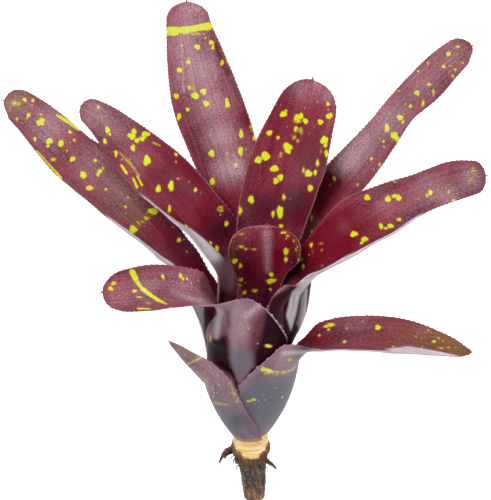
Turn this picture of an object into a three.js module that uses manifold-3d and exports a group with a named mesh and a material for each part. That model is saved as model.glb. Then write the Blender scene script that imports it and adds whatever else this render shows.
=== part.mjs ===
// A young neoregelia bromeliad, lifted from its pot and lying on its back: ten strap leaves, nested
// like onion scales round a short stem, with a pale scar collar, a cut brown runner and dry roots.
// Millimetres, +Z up. The plant rests on Z = 0 with its cut end towards -Y and its rosette towards
// +Y; the origin lies under the middle of its outline.
import * as THREE from "three";
import { mergeVertices } from "three/addons/utils/BufferGeometryUtils.js";
import Module from "manifold-3d";

const wasm = await Module();
wasm.setup();

const { degToRad, clamp, lerp, smoothstep } = THREE.MathUtils;

// ---------------------------------------------------------------- driving dimensions

// The stem axis climbs from the surface at axisRise, because the back leaves prop the rosette up.
const axisRise = degToRad(30);
const cutRadius = 4.9; // the brown runner where it was cut
const footX = 2.4;
const footY = -114.5;

// Heights are measured along the axis from the cut end.
const collarStart = 25;
const coreRadius = 7.9; // the short stem inside the leaves
const coreTop = 64;
const seatGap = 0.42; // between the stem and a leaf base

// The outermost leaf bases form a vase: this wide at the collar and at the belly.
const vaseFootHeight = 36;
const vaseFootRadius = coreRadius + seatGap;
const vaseBellyHeight = 80;
const vaseBellyRadius = 22.5;
const vaseFlare = 0.05; // further widening per millimetre above the belly
const vaseTop = 96;
const vaseFade = 15; // over which the nesting ends
const layerStep = 1.3; // each further leaf nests this much closer to the axis

const sheathThickness = 0.7; // at the midrib, in the wrapped leaf base
const bladeThickness = 1.1; // at the midrib, in the free blade
const marginThickness = 0.6;

const columns = 8; // facets across a leaf
const rowPitch = 7.5; // and about this long
const tipRowAngles = [30, 52, 70, 84]; // rows round the end of a leaf, on a quarter ellipse
const sheathSteps = 6; // stations along the wrapped base
const samplesPerStation = 12; // for the length of the midrib
const directionStep = 0.02; // of a station, either way, for the midrib's direction
const heightStep = 0.1; // for the height where a leaf meets the stem

const toothLength = 0.9;
const toothBase = 0.9;
const toothMinimumRow = 4; // shorter rows carry no tooth
const tipSpineLength = 2.4;

// ---------------------------------------------------------------- the plant's own directions

const right = new THREE.Vector3(1, 0, 0);
const up = new THREE.Vector3(0, 0, 1);
const axis = new THREE.Vector3(0, Math.cos(axisRise), Math.sin(axisRise));
const front = new THREE.Vector3(0, -Math.sin(axisRise), Math.cos(axisRise)); // away from the surface

const stemFoot = new THREE.Vector3(footX, footY, cutRadius * Math.cos(axisRise));

// A point beside the stem axis; azimuth 0 is the front, 90 the right.
function besideAxis(height, radius, azimuth) {
  return stemFoot
    .clone()
    .addScaledVector(axis, height)
    .addScaledVector(outward(azimuth), radius);
}

function outward(azimuth) {
  const a = degToRad(azimuth);
  return front.clone().multiplyScalar(Math.cos(a)).addScaledVector(right, Math.sin(a));
}

function vaseRadius(height, layer) {
  const below = clamp((vaseBellyHeight - height) / (vaseBellyHeight - vaseFootHeight), 0, 1);
  const share = 1 - below ** 2;
  const flare = Math.max(height - vaseBellyHeight, 0) * vaseFlare;
  return lerp(vaseFootRadius, vaseBellyRadius, share) + flare - layer * layerStep;
}

// A leaf can't sink into the leaves that it wraps: a point inside its own layer moves out to it.
// Above the vase, where the leaves spread, the layers no longer bind.
function keepOutside(point, layer) {
  const offset = point.clone().sub(stemFoot);
  const height = offset.dot(axis);
  const away = offset.addScaledVector(axis, -height);
  const bound = 1 - smoothstep(height, vaseTop, vaseTop + vaseFade);
  const short = vaseRadius(height, layer) * bound - away.length();
  if (short > 0) point.addScaledVector(away.normalize(), short);
}

// The height at which a layer's leaf meets the stem.
function footHeight(layer) {
  let height = vaseFootHeight;
  while (vaseRadius(height, layer) < vaseFootRadius) height += heightStep;
  return height;
}

// ---------------------------------------------------------------- the leaves

// Each leaf has a wrapped base, given by its azimuth round the stem, its layer counted inwards, the
// height of its throat and its half widths at the foot, belly and throat. Its free blade follows
// stations of [x, y, z, roll, half width, section radius]. Roll turns the upper face about the
// midrib: 0 looks up, away from the surface, and 90 to the leaf's own right. A section radius is
// that of the channel across the blade. A seventh number, where there is one, is the share of the
// half width by which the right side is wider and the left side narrower.
const leaves = [
  {
    name: "leaf_back_tall",
    azimuth: -165,
    layer: 5,
    throat: 106,
    sheath: [12, 20, 13],
    tip: 7.5,
    blade: [
      [-1, 13.5, 46, 12, 12.2, 24],
      [-6, 31.5, 43.5, 8, 14, 30],
      [-11.6, 50, 37, 4, 15.9, 34],
      [-18, 68.5, 27, 2, 16, 36],
      [-23, 88, 14.5, 0, 13.4, 34],
      [-26.2, 102.5, 4.8, 0, 10.7, 30],
      [-27.2, 110, 1, 0, 9.8, 28],
      [-27.5, 116, 0.6, 0, 9.6, 28],
    ],
  },
  {
    name: "leaf_back_broad",
    azimuth: 160,
    layer: 8,
    throat: 104,
    sheath: [12, 16.2, 10.6],
    tip: 14,
    blade: [
      [11.5, 11, 55, -6, 16, 22],
      [16.5, 30.5, 57, -4, 17, 36],
      [20, 42, 57, 0, 17, 40],
      [24.6, 56, 55, 4, 15, 34],
      [28.4, 69, 51, 6, 12.8, 26, 0.05],
      [30.2, 76.8, 48, 6, 11.6, 24, 0.07],
    ],
  },
  {
    name: "leaf_left_inner",
    azimuth: -125,
    layer: 6,
    throat: 96,
    sheath: [12, 19, 14],
    tip: 6,
    blade: [
      [-8, -7, 53.5, 50, 12.5, 15],
      [-14.4, 5.3, 57.5, 38, 14.4, 18, -0.03],
      [-23.6, 16.1, 58, 26, 14.6, 17, -0.03],
      [-30.2, 24.4, 56, 18, 14, 18, -0.01],
      [-39, 34, 52, 8, 13.2, 26],
      [-51, 45.5, 45, 2, 11.3, 28],
      [-63, 57.5, 36, 0, 8, 22],
      [-71, 63.5, 30, 0, 6, 16],
      [-75.5, 66, 27.5, 0, 5, 14],
    ],
  },
  {
    name: "leaf_left_outer",
    azimuth: -112,
    layer: 3,
    throat: 73,
    sheath: [14, 20, 13],
    tip: 7,
    blade: [
      [-19.8, -28, 45, 62, 11, 15],
      [-27, -8.8, 51.5, 46, 11.2, 15, -0.1],
      [-34.4, 0.1, 49.5, 40, 11.8, 16, -0.12],
      [-44.1, 10.9, 45.5, 30, 12.1, 18, -0.07],
      [-57.3, 23.6, 38, 16, 11.8, 24],
      [-70, 35.5, 29, 8, 12.2, 28],
      [-80, 43.5, 21.5, 4, 11.5, 28],
      [-89.5, 53, 13.5, 2, 10.6, 26],
      [-99, 62, 6, 0, 9, 22],
      [-107, 68, 1, 0, 7.5, 22],
      [-113, 70, 0.6, 0, 6, 22],
    ],
  },
  {
    name: "leaf_right_upper",
    azimuth: 125,
    layer: 4,
    throat: 80,
    sheath: [14, 20, 13],
    tip: 7,
    blade: [
      [24, -28, 39.5, -56, 12, 15],
      [27, 0, 46.5, -44, 12, 14],
      [36, 20.5, 45, -34, 12, 16],
      [46, 32.5, 41, -24, 11, 20],
      [54.5, 43, 36, -16, 9.5, 24],
      [63.5, 54.5, 29, -10, 8, 24],
      [71.5, 65, 22, -6, 7.5, 22],
      [83, 76, 12.5, -4, 8.5, 24],
      [91.5, 85, 5.5, 0, 8, 22],
      [100, 92.5, 1, 0, 6.8, 22],
      [106, 95.5, 0.6, 0, 5, 22],
    ],
  },
  {
    name: "leaf_right_middle",
    azimuth: 85,
    layer: 7,
    throat: 106,
    sheath: [12, 17, 16],
    tip: 6,
    blade: [
      [24.6, -14.4, 60.6, -68, 16.3, 16, 0.2],
      [30.8, -5.6, 64, -52, 16.1, 18, 0.3],
      [43.6, 5.2, 68, -33, 15.3, 18, 0.14],
      [51.5, 11.1, 67.5, -26, 14.4, 19, 0.02],
      [59.8, 16.1, 66, -20, 12.8, 22, 0.02],
      [68, 20.8, 63, -14, 10.8, 22, 0.02],
      [76.6, 24.6, 59.5, -10, 9.2, 24],
      [85, 28, 56, -6, 9, 24],
      [93.5, 31, 52, -3, 9, 22],
      [102, 32.6, 48, 0, 7.8, 18],
      [108.6, 33.5, 45, 0, 6.5, 14],
    ],
  },
  {
    name: "leaf_front_left",
    azimuth: -10,
    layer: 2,
    throat: 98,
    sheath: [14, 23, 20],
    tip: 12,
    blade: [
      [-8.5, -27.5, 76, 118, 15, 15],
      [-20, -20.5, 84, 58, 12.5, 14],
      [-31, -17.5, 86.5, 30, 10.8, 17],
      [-41.5, -16.9, 87, 14, 10.5, 24],
      [-50.5, -17.7, 85.5, 6, 9.5, 24],
      [-57.5, -18.4, 83.5, 2, 8.7, 20],
      [-62.8, -18.5, 81, 0, 8, 16],
    ],
  },
  {
    name: "leaf_low_right",
    azimuth: 52,
    layer: 1,
    throat: 76,
    sheath: [13, 24, 23],
    tip: 10,
    blade: [
      [24.6, -46.6, 57, -102, 13.5, 13],
      [33.5, -42, 60.5, -62, 11.8, 14, 0.03],
      [44.5, -38.8, 63, -42, 10.8, 15, 0.08],
      [60, -37.9, 63.5, -30, 9.9, 16, 0.1],
      [73.5, -39.2, 61, -22, 8, 16, 0.04],
      [87, -42.2, 56, -16, 5.4, 14],
      [96.5, -45, 52, -10, 3.4, 10],
      [102, -46, 50, -8, 2, 8],
    ],
  },
  {
    name: "leaf_low_left",
    azimuth: -46,
    layer: 0,
    throat: 64,
    sheath: [12, 15, 13],
    tip: 6,
    blade: [
      [-14, -59.5, 52, 128, 11, 22],
      [-19.3, -54.6, 54, 127, 8, 12],
      [-25.8, -48.6, 57, 124, 5.5, 10],
      [-30.6, -43.6, 60, 120, 3.5, 8],
      [-33.3, -40.7, 62, 118, 2, 6],
    ],
  },
  {
    name: "leaf_heart",
    azimuth: 152,
    layer: 9.3,
    throat: 104,
    sheath: [12, 12, 10],
    tip: 6.5,
    blade: [
      [8.4, -9, 53.6, -14, 12.6, 13.5, -0.12],
      [8.8, 0, 59, -4, 18, 18],
      [9.2, 6, 63, 0, 17.8, 20],
      [9.6, 10.8, 65, 0, 17.2, 20, 0.03],
    ],
  },
];

// A smooth curve through a list of numbers (Catmull-Rom), at a place counted in list steps.
function through(values, place) {
  const last = values.length - 1;
  const i = clamp(Math.floor(place), 0, last - 1);
  const t = place - i;
  const here = values[i];
  const next = values[i + 1];
  const before = i > 0 ? values[i - 1] : 2 * here - next;
  const after = i + 2 <= last ? values[i + 2] : 2 * next - here;
  const square = 2 * before - 5 * here + 4 * next - after;
  const cube = 3 * (here - next) + after - before;
  return here + 0.5 * t * (next - before + t * (square + t * cube));
}

// Every station of a leaf, from its foot on the stem to its tip.
function stationsOf(leaf) {
  const foot = footHeight(leaf.layer);
  const roll = leaf.azimuth > 0 ? leaf.azimuth - 180 : leaf.azimuth + 180;
  const wrapped = Array.from({ length: sheathSteps + 1 }, (_, i) => {
    const height = lerp(foot, leaf.throat, i / sheathSteps);
    const radius = vaseRadius(height, leaf.layer);
    const { x, y, z } = besideAxis(height, radius, leaf.azimuth);
    const halfWidth = through(leaf.sheath, (2 * i) / sheathSteps);
    return { x, y, z, roll, halfWidth, bend: 1 / radius, skew: 0, free: 0 };
  });
  const blade = leaf.blade.map(([x, y, z, bladeRoll, halfWidth, radius, skew = 0]) => {
    return { x, y, z, roll: bladeRoll, halfWidth, bend: 1 / radius, skew, free: 1 };
  });
  return [...wrapped, ...blade];
}

// The midrib's length, and a function from a distance along it to the place in the station list.
function measure(middle, lastPlace) {
  const samples = lastPlace * samplesPerStation;
  const distances = [0];
  for (let i = 1; i <= samples; i += 1) {
    const step = middle(i / samplesPerStation).distanceTo(middle((i - 1) / samplesPerStation));
    distances.push(distances[i - 1] + step);
  }
  const placeAt = (distance) => {
    let i = 1;
    while (i < samples && distances[i] < distance) i += 1;
    const share = clamp((distance - distances[i - 1]) / (distances[i] - distances[i - 1]), 0, 1);
    return (i - 1 + share) / samplesPerStation;
  };
  return { total: distances[samples], placeAt };
}

// A leaf as a surface: at(distance, across) gives the point of its upper face, the upper face's
// normal, the thickness and the midrib's direction there. Across runs from -1 to 1.
function surfaceOf(leaf) {
  const stations = stationsOf(leaf);
  const lastPlace = stations.length - 1;
  const value = (name, place) => through(stations.map((station) => station[name]), place);
  const middle = (place) => new THREE.Vector3(value("x", place), value("y", place), value("z", place));
  const { total, placeAt } = measure(middle, lastPlace);

  // The directions of a section: along the leaf, across it, and out of its upper face.
  const sectionAt = (place) => {
    const ahead = middle(Math.min(place + directionStep, lastPlace));
    const behind = middle(Math.max(place - directionStep, 0));
    const free = clamp(value("free", place), 0, 1);
    const along = axis.clone().lerp(ahead.sub(behind).normalize(), free).normalize();
    const level = up.clone().addScaledVector(along, -up.dot(along)).normalize();
    const side = along.clone().cross(level);
    const roll = degToRad(value("roll", place));
    const normal = level.multiplyScalar(Math.cos(roll)).addScaledVector(side, Math.sin(roll));
    return { along, normal, width: along.clone().cross(normal), free };
  };

  const at = (distance, across) => {
    const place = placeAt(distance);
    const { along, normal, width, free } = sectionAt(place);
    const beforeTip = clamp((total - distance) / leaf.tip, 0, 1);
    const halfWidth = value("halfWidth", place) * Math.sqrt(1 - (1 - beforeTip) ** 2);
    const bend = value("bend", place);
    const turn = bend * halfWidth * (across + value("skew", place) * across ** 2);
    const point = middle(place)
      .addScaledVector(width, Math.sin(turn) / bend)
      .addScaledVector(normal, (1 - Math.cos(turn)) / bend);
    keepOutside(point, leaf.layer);
    const face = normal.clone().multiplyScalar(Math.cos(turn)).addScaledVector(width, -Math.sin(turn));
    const midribThickness = lerp(sheathThickness, bladeThickness, free);
    const thickness = lerp(marginThickness, midribThickness, 1 - across ** 2);
    return { point, face, thickness, along };
  };
  return { total, at, tip: leaf.tip };
}

// Where the rows of a leaf's facets lie: evenly along it, then closer round the tip.
function rowsOf({ total, tip }) {
  const plain = total - tip;
  const count = Math.ceil(plain / rowPitch);
  const rows = Array.from({ length: count + 1 }, (_, i) => (plain * i) / count);
  return [...rows, ...tipRowAngles.map((angle) => plain + tip * Math.sin(degToRad(angle)))];
}

// The closed skin of a leaf: upper and lower face split alike, joined along margins that carry a
// tooth on every longer row, and drawn out into a spine at the tip.
function leafBody(surface) {
  const rows = rowsOf(surface);
  const last = rows.length - 1;
  const positions = [];
  const index = [];
  const face = (...corners) => index.push(...corners);
  const quad = (a, b, c, d) => face(a, b, c, a, c, d);
  const addPoint = (point) => positions.push(...point.toArray()) / 3 - 1;
  // Adds the upper and the lower point at a place and returns their numbers.
  const addPair = (distance, across) => {
    const { point, face: normal, thickness } = surface.at(distance, across);
    const under = point.clone().addScaledVector(normal, -thickness);
    under.z = Math.max(under.z, 0); // where the leaf rests, it lies flat
    point.z = Math.max(point.z, marginThickness);
    return [addPoint(point), addPoint(under)];
  };
  const grid = rows.map((distance) =>
    Array.from({ length: columns + 1 }, (_, c) => addPair(distance, (2 * c) / columns - 1)),
  );
  for (let r = 0; r < last; r += 1) {
    for (let c = 1; c < columns - 1; c += 1) {
      const [a, b, d, e] = [grid[r][c], grid[r][c + 1], grid[r + 1][c + 1], grid[r + 1][c]];
      quad(a[0], b[0], d[0], e[0]);
      quad(b[1], a[1], e[1], d[1]);
    }
    const toothed = rows[r + 1] - rows[r] >= toothMinimumRow;
    const middle = (rows[r] + rows[r + 1]) / 2;
    for (const side of [-1, 1]) {
      const outer = side < 0 ? 0 : columns;
      const inner = outer - side;
      const turned = (a, b, c) => (side < 0 ? face(a, b, c) : face(a, c, b));
      const hubs = [grid[r][inner], grid[r + 1][inner]];
      const toothFeet = toothed
        ? [addPair(middle - toothBase / 2, side), addPair(middle + toothBase / 2, side)]
        : [];
      const margin = [grid[r][outer], ...toothFeet, grid[r + 1][outer]];
      const half = Math.ceil((margin.length - 1) / 2);
      for (let i = 0; i + 1 < margin.length; i += 1) {
        const [a, b] = [margin[i], margin[i + 1]];
        const hub = i < half ? hubs[0] : hubs[1];
        turned(a[0], hub[0], b[0]);
        turned(b[1], hub[1], a[1]);
        if (toothed && i === 1) {
          const apex = addPoint(toothApex(surface, middle, side));
          turned(a[0], b[0], apex);
          turned(b[0], b[1], apex);
          turned(b[1], a[1], apex);
          turned(a[1], a[0], apex);
        } else {
          turned(a[0], b[0], b[1]);
          turned(a[0], b[1], a[1]);
        }
      }
      turned(margin[half][0], hubs[0][0], hubs[1][0]);
      turned(margin[half][1], hubs[1][1], hubs[0][1]);
    }
  }
  const tip = addPoint(tipApex(surface));
  for (let c = 0; c < columns; c += 1) {
    const [a, b] = [grid[0][c], grid[0][c + 1]];
    quad(a[0], a[1], b[1], b[0]);
    const [d, e] = [grid[last][c], grid[last][c + 1]];
    face(d[0], e[0], tip);
    face(e[1], d[1], tip);
  }
  face(grid[last][0][1], grid[last][0][0], tip);
  face(grid[last][columns][0], grid[last][columns][1], tip);
  const geometry = new THREE.BufferGeometry();
  geometry.setAttribute("position", new THREE.Float32BufferAttribute(positions, 3));
  geometry.setIndex(index);
  return geometry;
}

// A tooth points out of the margin and a little towards the tip.
function toothApex(surface, distance, side) {
  const { point, face, thickness, along } = surface.at(distance, side);
  const out = along.clone().cross(face).multiplyScalar(side);
  return point
    .addScaledVector(face, -thickness / 2)
    .addScaledVector(out, toothLength)
    .addScaledVector(along, toothLength / 2);
}

function tipApex(surface) {
  const { point, face, thickness, along } = surface.at(surface.total, 0);
  point.addScaledVector(face, -thickness / 2).addScaledVector(along, tipSpineLength);
  point.z = Math.max(point.z, marginThickness / 2);
  return point;
}

// ---------------------------------------------------------------- solids

const weldDistance = 1e-4;

function solidFrom(geometry) {
  const bare = geometry.clone();
  bare.deleteAttribute("normal");
  bare.deleteAttribute("uv");
  const merged = mergeVertices(bare, weldDistance);
  return new wasm.Manifold(
    new wasm.Mesh({
      numProp: 3,
      vertProperties: merged.attributes.position.array,
      triVerts: new Uint32Array(merged.index.array),
    }),
  );
}

function geometryFrom(solid) {
  const mesh = solid.getMesh();
  const geometry = new THREE.BufferGeometry();
  geometry.setAttribute("position", new THREE.Float32BufferAttribute(mesh.vertProperties, 3));
  geometry.setIndex([...mesh.triVerts]);
  geometry.computeVertexNormals();
  return geometry;
}

// ---------------------------------------------------------------- the stem

// The stem from the cut end upwards, as [height, radius, how far it leans to the right]: a brown
// runner, a scar collar where old leaves came off, and the core that carries the leaves.
const stemRings = [
  [0, cutRadius, 1.7],
  [4, 5.2, 1.6],
  [10, 5.5, 1.3],
  [16, 6.2, 0.7],
  [22, 7.1, 0.2],
  [collarStart, 7.3, 0],
  [collarStart + 0.8, 8.3, 0],
  [vaseFootHeight - 5, 8.1, 0],
  [vaseFootHeight - 0.6, coreRadius, 0],
  [coreTop - 3, coreRadius, 0],
  [coreTop, 6, 0],
];
const stemSides = 18;
const barkRidges = 5;
const barkDepth = 0.25;
const barkTwist = 12; // degrees per millimetre up the runner

// Dry roots at the collar, each from inside the stem to its broken end.
const rootSides = 6;
const roots = [
  {
    radii: [1.3, 1, 0.8, 0.4],
    points: [[-2, -90, 18], [-8.5, -92.3, 19], [-10.5, -95, 18], [-12.2, -98.4, 16]],
  },
  {
    radii: [1.1, 0.8, 0.4],
    points: [[-2, -92, 16], [-8.3, -94.3, 14], [-9.6, -96.6, 12]],
  },
  {
    radii: [1, 0.7, 0.35],
    points: [[-1, -92, 20], [-4.3, -95.2, 22], [-3.8, -98.4, 21.5]],
  },
  {
    radii: [1.2, 0.9, 0.6, 0.35],
    points: [[5, -95, 16], [9.5, -97, 17], [12.4, -99.2, 16], [14.2, -101.2, 15.5]],
  },
  {
    radii: [1.1, 0.8, 0.4],
    points: [[2, -92, 14], [3, -95, 8], [2.5, -98, 6.5]],
  },
];
const rootReference = new THREE.Vector3(1, 0, 2); // no root runs along it

// A closed skin over rings of points, all of the same number.
function ringSkin(rings) {
  const sides = rings[0].length;
  const positions = rings.flat().flatMap((point) => point.toArray());
  const index = [];
  for (let r = 0; r + 1 < rings.length; r += 1) {
    for (let i = 0; i < sides; i += 1) {
      const j = (i + 1) % sides;
      const [a, b, c, d] = [r * sides + i, r * sides + j, (r + 1) * sides + j, (r + 1) * sides + i];
      index.push(a, b, c, a, c, d);
    }
  }
  const top = (rings.length - 1) * sides;
  for (let i = 1; i + 1 < sides; i += 1) {
    index.push(0, i + 1, i);
    index.push(top, top + i, top + i + 1);
  }
  const geometry = new THREE.BufferGeometry();
  geometry.setAttribute("position", new THREE.Float32BufferAttribute(positions, 3));
  geometry.setIndex(index);
  return geometry;
}

function stemTrunk() {
  const rings = stemRings.map(([height, radius, lean]) =>
    Array.from({ length: stemSides }, (_, i) => {
      const turn = (360 * i) / stemSides;
      const bark = height > 0 && height <= collarStart ? barkDepth : 0;
      const ridge = bark * Math.sin(degToRad(turn * barkRidges + height * barkTwist));
      return besideAxis(height, radius + ridge, turn).addScaledVector(right, lean);
    }),
  );
  return solidFrom(ringSkin(rings));
}

function root({ radii, points }) {
  const spots = points.map((point) => new THREE.Vector3(...point));
  const rings = spots.map((spot, i) => {
    const ahead = spots[Math.min(i + 1, spots.length - 1)];
    const behind = spots[Math.max(i - 1, 0)];
    const along = ahead.clone().sub(behind).normalize();
    const across = along.clone().cross(rootReference).normalize();
    const third = along.clone().cross(across);
    return Array.from({ length: rootSides }, (_, k) => {
      const turn = (2 * Math.PI * k) / rootSides;
      return spot
        .clone()
        .addScaledVector(across, radii[i] * Math.cos(turn))
        .addScaledVector(third, radii[i] * Math.sin(turn));
    });
  });
  return solidFrom(ringSkin(rings));
}

function stemBody() {
  return geometryFrom(roots.reduce((body, each) => body.add(root(each)), stemTrunk()));
}

// ---------------------------------------------------------------- assembly

const wineLeaf = { color: 0x6a2233, roughness: 0.4, metalness: 0 };
const duskyLeaf = { color: 0x6b5a66, roughness: 0.5, metalness: 0 }; // grey undersides show
const dryStem = { color: 0x5b4330, roughness: 0.9, metalness: 0 };
const lowLeaves = ["leaf_low_left", "leaf_low_right"];

function piece(name, geometry, look) {
  const mesh = new THREE.Mesh(geometry, new THREE.MeshStandardMaterial(look));
  mesh.name = name;
  return mesh;
}

const plant = new THREE.Group();
plant.add(piece("stem", stemBody(), dryStem));
for (const leaf of leaves) {
  const look = lowLeaves.includes(leaf.name) ? duskyLeaf : wineLeaf;
  plant.add(piece(leaf.name, leafBody(surfaceOf(leaf)), look));
}

const middle = new THREE.Box3().setFromObject(plant).getCenter(new THREE.Vector3());
plant.position.set(-middle.x, -middle.y, 0);

export default plant;
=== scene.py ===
# %% [markdown]
# # A young neoregelia, lifted from its pot
#
# A neoregelia is a bromeliad: its strap leaves wrap round a short stem like onion scales and spread
# at the top into a rosette with a cup in the middle. This one was cut from its mother plant on a
# brown runner, and lies on its back on a white table.
#
# The packed solids already have the right size and place. Each one is a facetted leaf, and this
# script dresses it: a finer skin with the same form, small teeth, and the colours of the plant.

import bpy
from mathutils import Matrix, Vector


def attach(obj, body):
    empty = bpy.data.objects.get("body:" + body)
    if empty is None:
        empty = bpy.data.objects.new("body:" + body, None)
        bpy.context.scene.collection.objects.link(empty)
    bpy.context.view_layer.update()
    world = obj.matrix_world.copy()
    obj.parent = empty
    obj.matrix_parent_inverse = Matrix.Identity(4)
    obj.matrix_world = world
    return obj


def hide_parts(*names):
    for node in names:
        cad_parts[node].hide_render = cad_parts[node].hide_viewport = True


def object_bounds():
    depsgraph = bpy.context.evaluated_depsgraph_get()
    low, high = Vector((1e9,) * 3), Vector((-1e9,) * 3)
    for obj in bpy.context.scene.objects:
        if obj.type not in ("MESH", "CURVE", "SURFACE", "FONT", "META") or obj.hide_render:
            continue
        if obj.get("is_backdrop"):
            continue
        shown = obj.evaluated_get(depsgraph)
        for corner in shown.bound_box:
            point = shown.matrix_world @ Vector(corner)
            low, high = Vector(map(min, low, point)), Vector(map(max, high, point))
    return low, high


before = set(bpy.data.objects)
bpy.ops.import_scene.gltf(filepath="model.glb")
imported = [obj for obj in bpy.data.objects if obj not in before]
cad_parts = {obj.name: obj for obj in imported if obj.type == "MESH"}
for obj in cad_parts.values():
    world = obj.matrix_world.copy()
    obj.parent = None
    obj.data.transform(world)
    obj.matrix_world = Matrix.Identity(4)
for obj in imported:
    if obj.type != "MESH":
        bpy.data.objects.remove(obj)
solid_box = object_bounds()
print("nodes:", sorted(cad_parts))
print("solid box in mm:", [[round(v * 1000, 1) for v in corner] for corner in solid_box])

# %% [markdown]
# ## The camera
#
# The plant is drawn from straight above, so that the rosette shows its whole outline. A long lens
# far away keeps the leaves from looking swollen. A short lens close up would make the front leaf
# too big. The view is counted in steps of 0.45 mm, which is handy later for placing marks.

# %% Camera straight above
import math
import random

import bmesh
import bpy
import numpy as np
from mathutils import Matrix, Vector, noise

MM = 0.001
VIEW_STEP = 0.45  # millimetres, at the height below
VIEW_HEIGHT = 50.0
VIEW_DISTANCE = 1250.0
VIEW_MIDDLE = (245.5, 250.0)  # steps to the right and down from the view's corner
VIEW_TALL = 500  # steps
SENSOR = 36.0
PLANT_SHIFT = Vector((2.351, -0.705, 0.0))  # from the plant's own frame to the packed one

camera_data = bpy.data.cameras.new("overhead_camera")
camera_data.sensor_width = SENSOR
camera_data.lens = SENSOR * VIEW_DISTANCE / (VIEW_STEP * VIEW_TALL)
camera = bpy.data.objects.new("overhead_camera", camera_data)
camera.location = (PLANT_SHIFT + Vector((0, 0, VIEW_HEIGHT + VIEW_DISTANCE))) * MM
camera_data.clip_start = 0.1
camera_data.clip_end = 20
bpy.context.scene.collection.objects.link(camera)
bpy.context.scene.camera = camera
print("lens in mm:", round(camera_data.lens, 1))

# %% [markdown]
# ## The table and the light
#
# A plant is often shown on a light table, whose white top glows a little and drowns the shadows.
# It also lights the undersides of the leaves, which is why their edges look silvery. A large soft
# lamp above gives the leaves their broad satin sheen, and the white room fills in the rest.

# %% Light table and soft lamps
def plain_material(name, color, glow):
    material = bpy.data.materials.new(name)
    material.use_nodes = True
    shader = material.node_tree.nodes["Principled BSDF"]
    shader.inputs["Base Color"].default_value = (*color, 1)
    shader.inputs["Roughness"].default_value = 0.6
    shader.inputs["Emission Color"].default_value = (1, 1, 1, 1)
    shader.inputs["Emission Strength"].default_value = glow
    return material


def object_from(bm, name):
    """Turns a bmesh into an object at the origin, with its faces shaded smooth."""
    for face in bm.faces:
        face.smooth = True
    mesh = bpy.data.meshes.new(name)
    bm.to_mesh(mesh)
    bm.free()
    made = bpy.data.objects.new(name, mesh)
    bpy.context.scene.collection.objects.link(made)
    return made


TABLE_HALF = 3.0  # metres
TABLE_WHITE = (0.8, 0.8, 0.8)
TABLE_GLOW = 0.85
ROOM_LIGHT = 0.18
LAMP_AIM = Vector((0, 0, 0.05))

table_top = bmesh.new()
bmesh.ops.create_grid(table_top, x_segments=1, y_segments=1, size=TABLE_HALF)
table = object_from(table_top, "light_table")
table.data.materials.append(plain_material("white_table", TABLE_WHITE, TABLE_GLOW))
table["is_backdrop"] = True

room = bpy.data.worlds.new("white_room")
room.use_nodes = True
room.node_tree.nodes["Background"].inputs["Color"].default_value = (1, 1, 1, 1)
room.node_tree.nodes["Background"].inputs["Strength"].default_value = ROOM_LIGHT
bpy.context.scene.world = room
bpy.context.scene.view_settings.view_transform = "Standard"


def soft_lamp(name, place, size, power):
    data = bpy.data.lights.new(name, "AREA")
    data.size = size
    data.energy = power
    lamp = bpy.data.objects.new(name, data)
    lamp.location = place
    lamp.rotation_euler = (LAMP_AIM - Vector(place)).to_track_quat("-Z", "Y").to_euler()
    bpy.context.scene.collection.objects.link(lamp)


soft_lamp("top_lamp", place=(-0.28, 0.36, 0.95), size=0.5, power=11.5)
soft_lamp("fill_lamp", place=(0.75, -0.35, 0.75), size=0.6, power=5.0)
print("lamps in watts:", {lamp.name: lamp.energy for lamp in bpy.data.lights})

# %% [markdown]
# ## How a leaf is shaped
#
# A leaf is a strap that starts wrapped round the stem and then runs free. Its midrib is one smooth
# curve through a list of stations, and across the midrib its section is an arc, a shallow channel.
# Drawing each blade by hand as a surface would be free, but would not fit its solid. The same
# stations and the same rule as the solid's give a skin that lies exactly where the solid does.

# %% The stem axis and the vase of leaf bases
AXIS_RISE = math.radians(30)
RIGHT = Vector((1, 0, 0))
UP = Vector((0, 0, 1))
AXIS = Vector((0, math.cos(AXIS_RISE), math.sin(AXIS_RISE)))
FRONT = Vector((0, -math.sin(AXIS_RISE), math.cos(AXIS_RISE)))
CUT_RADIUS = 4.9
STEM_FOOT = Vector((2.4, -114.5, CUT_RADIUS * math.cos(AXIS_RISE)))
CORE_RADIUS = 7.9
CORE_TOP = 64
COLLAR_START = 25
VASE_FOOT_HEIGHT = 36
VASE_FOOT_RADIUS = CORE_RADIUS + 0.42
VASE_BELLY_HEIGHT = 80
VASE_BELLY_RADIUS = 22.5
VASE_FLARE = 0.05
VASE_TOP = 96
VASE_FADE = 15
LAYER_STEP = 1.3
HEIGHT_STEP = 0.1


def clamp(value, low=0.0, high=1.0):
    return max(low, min(high, value))


def lerp(a, b, share):
    return a + (b - a) * share


def smoothstep(value, low, high):
    share = clamp((value - low) / (high - low))
    return share * share * (3 - 2 * share)


def beside_axis(height, radius, azimuth):
    """A point beside the stem; azimuth 0 is the front, 90 the right."""
    turn = math.radians(azimuth)
    return STEM_FOOT + AXIS * height + (FRONT * math.cos(turn) + RIGHT * math.sin(turn)) * radius


def vase_radius(height, layer):
    below = clamp((VASE_BELLY_HEIGHT - height) / (VASE_BELLY_HEIGHT - VASE_FOOT_HEIGHT))
    flare = max(height - VASE_BELLY_HEIGHT, 0) * VASE_FLARE
    return lerp(VASE_FOOT_RADIUS, VASE_BELLY_RADIUS, 1 - below**2) + flare - layer * LAYER_STEP


def keep_outside(point, layer):
    """A leaf can't sink into the leaves that it wraps, so the point moves out to its layer."""
    offset = point - STEM_FOOT
    height = offset.dot(AXIS)
    away = offset - AXIS * height
    bound = 1 - smoothstep(height, VASE_TOP, VASE_TOP + VASE_FADE)
    short = vase_radius(height, layer) * bound - away.length
    return point + away.normalized() * short if short > 0 else point


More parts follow.
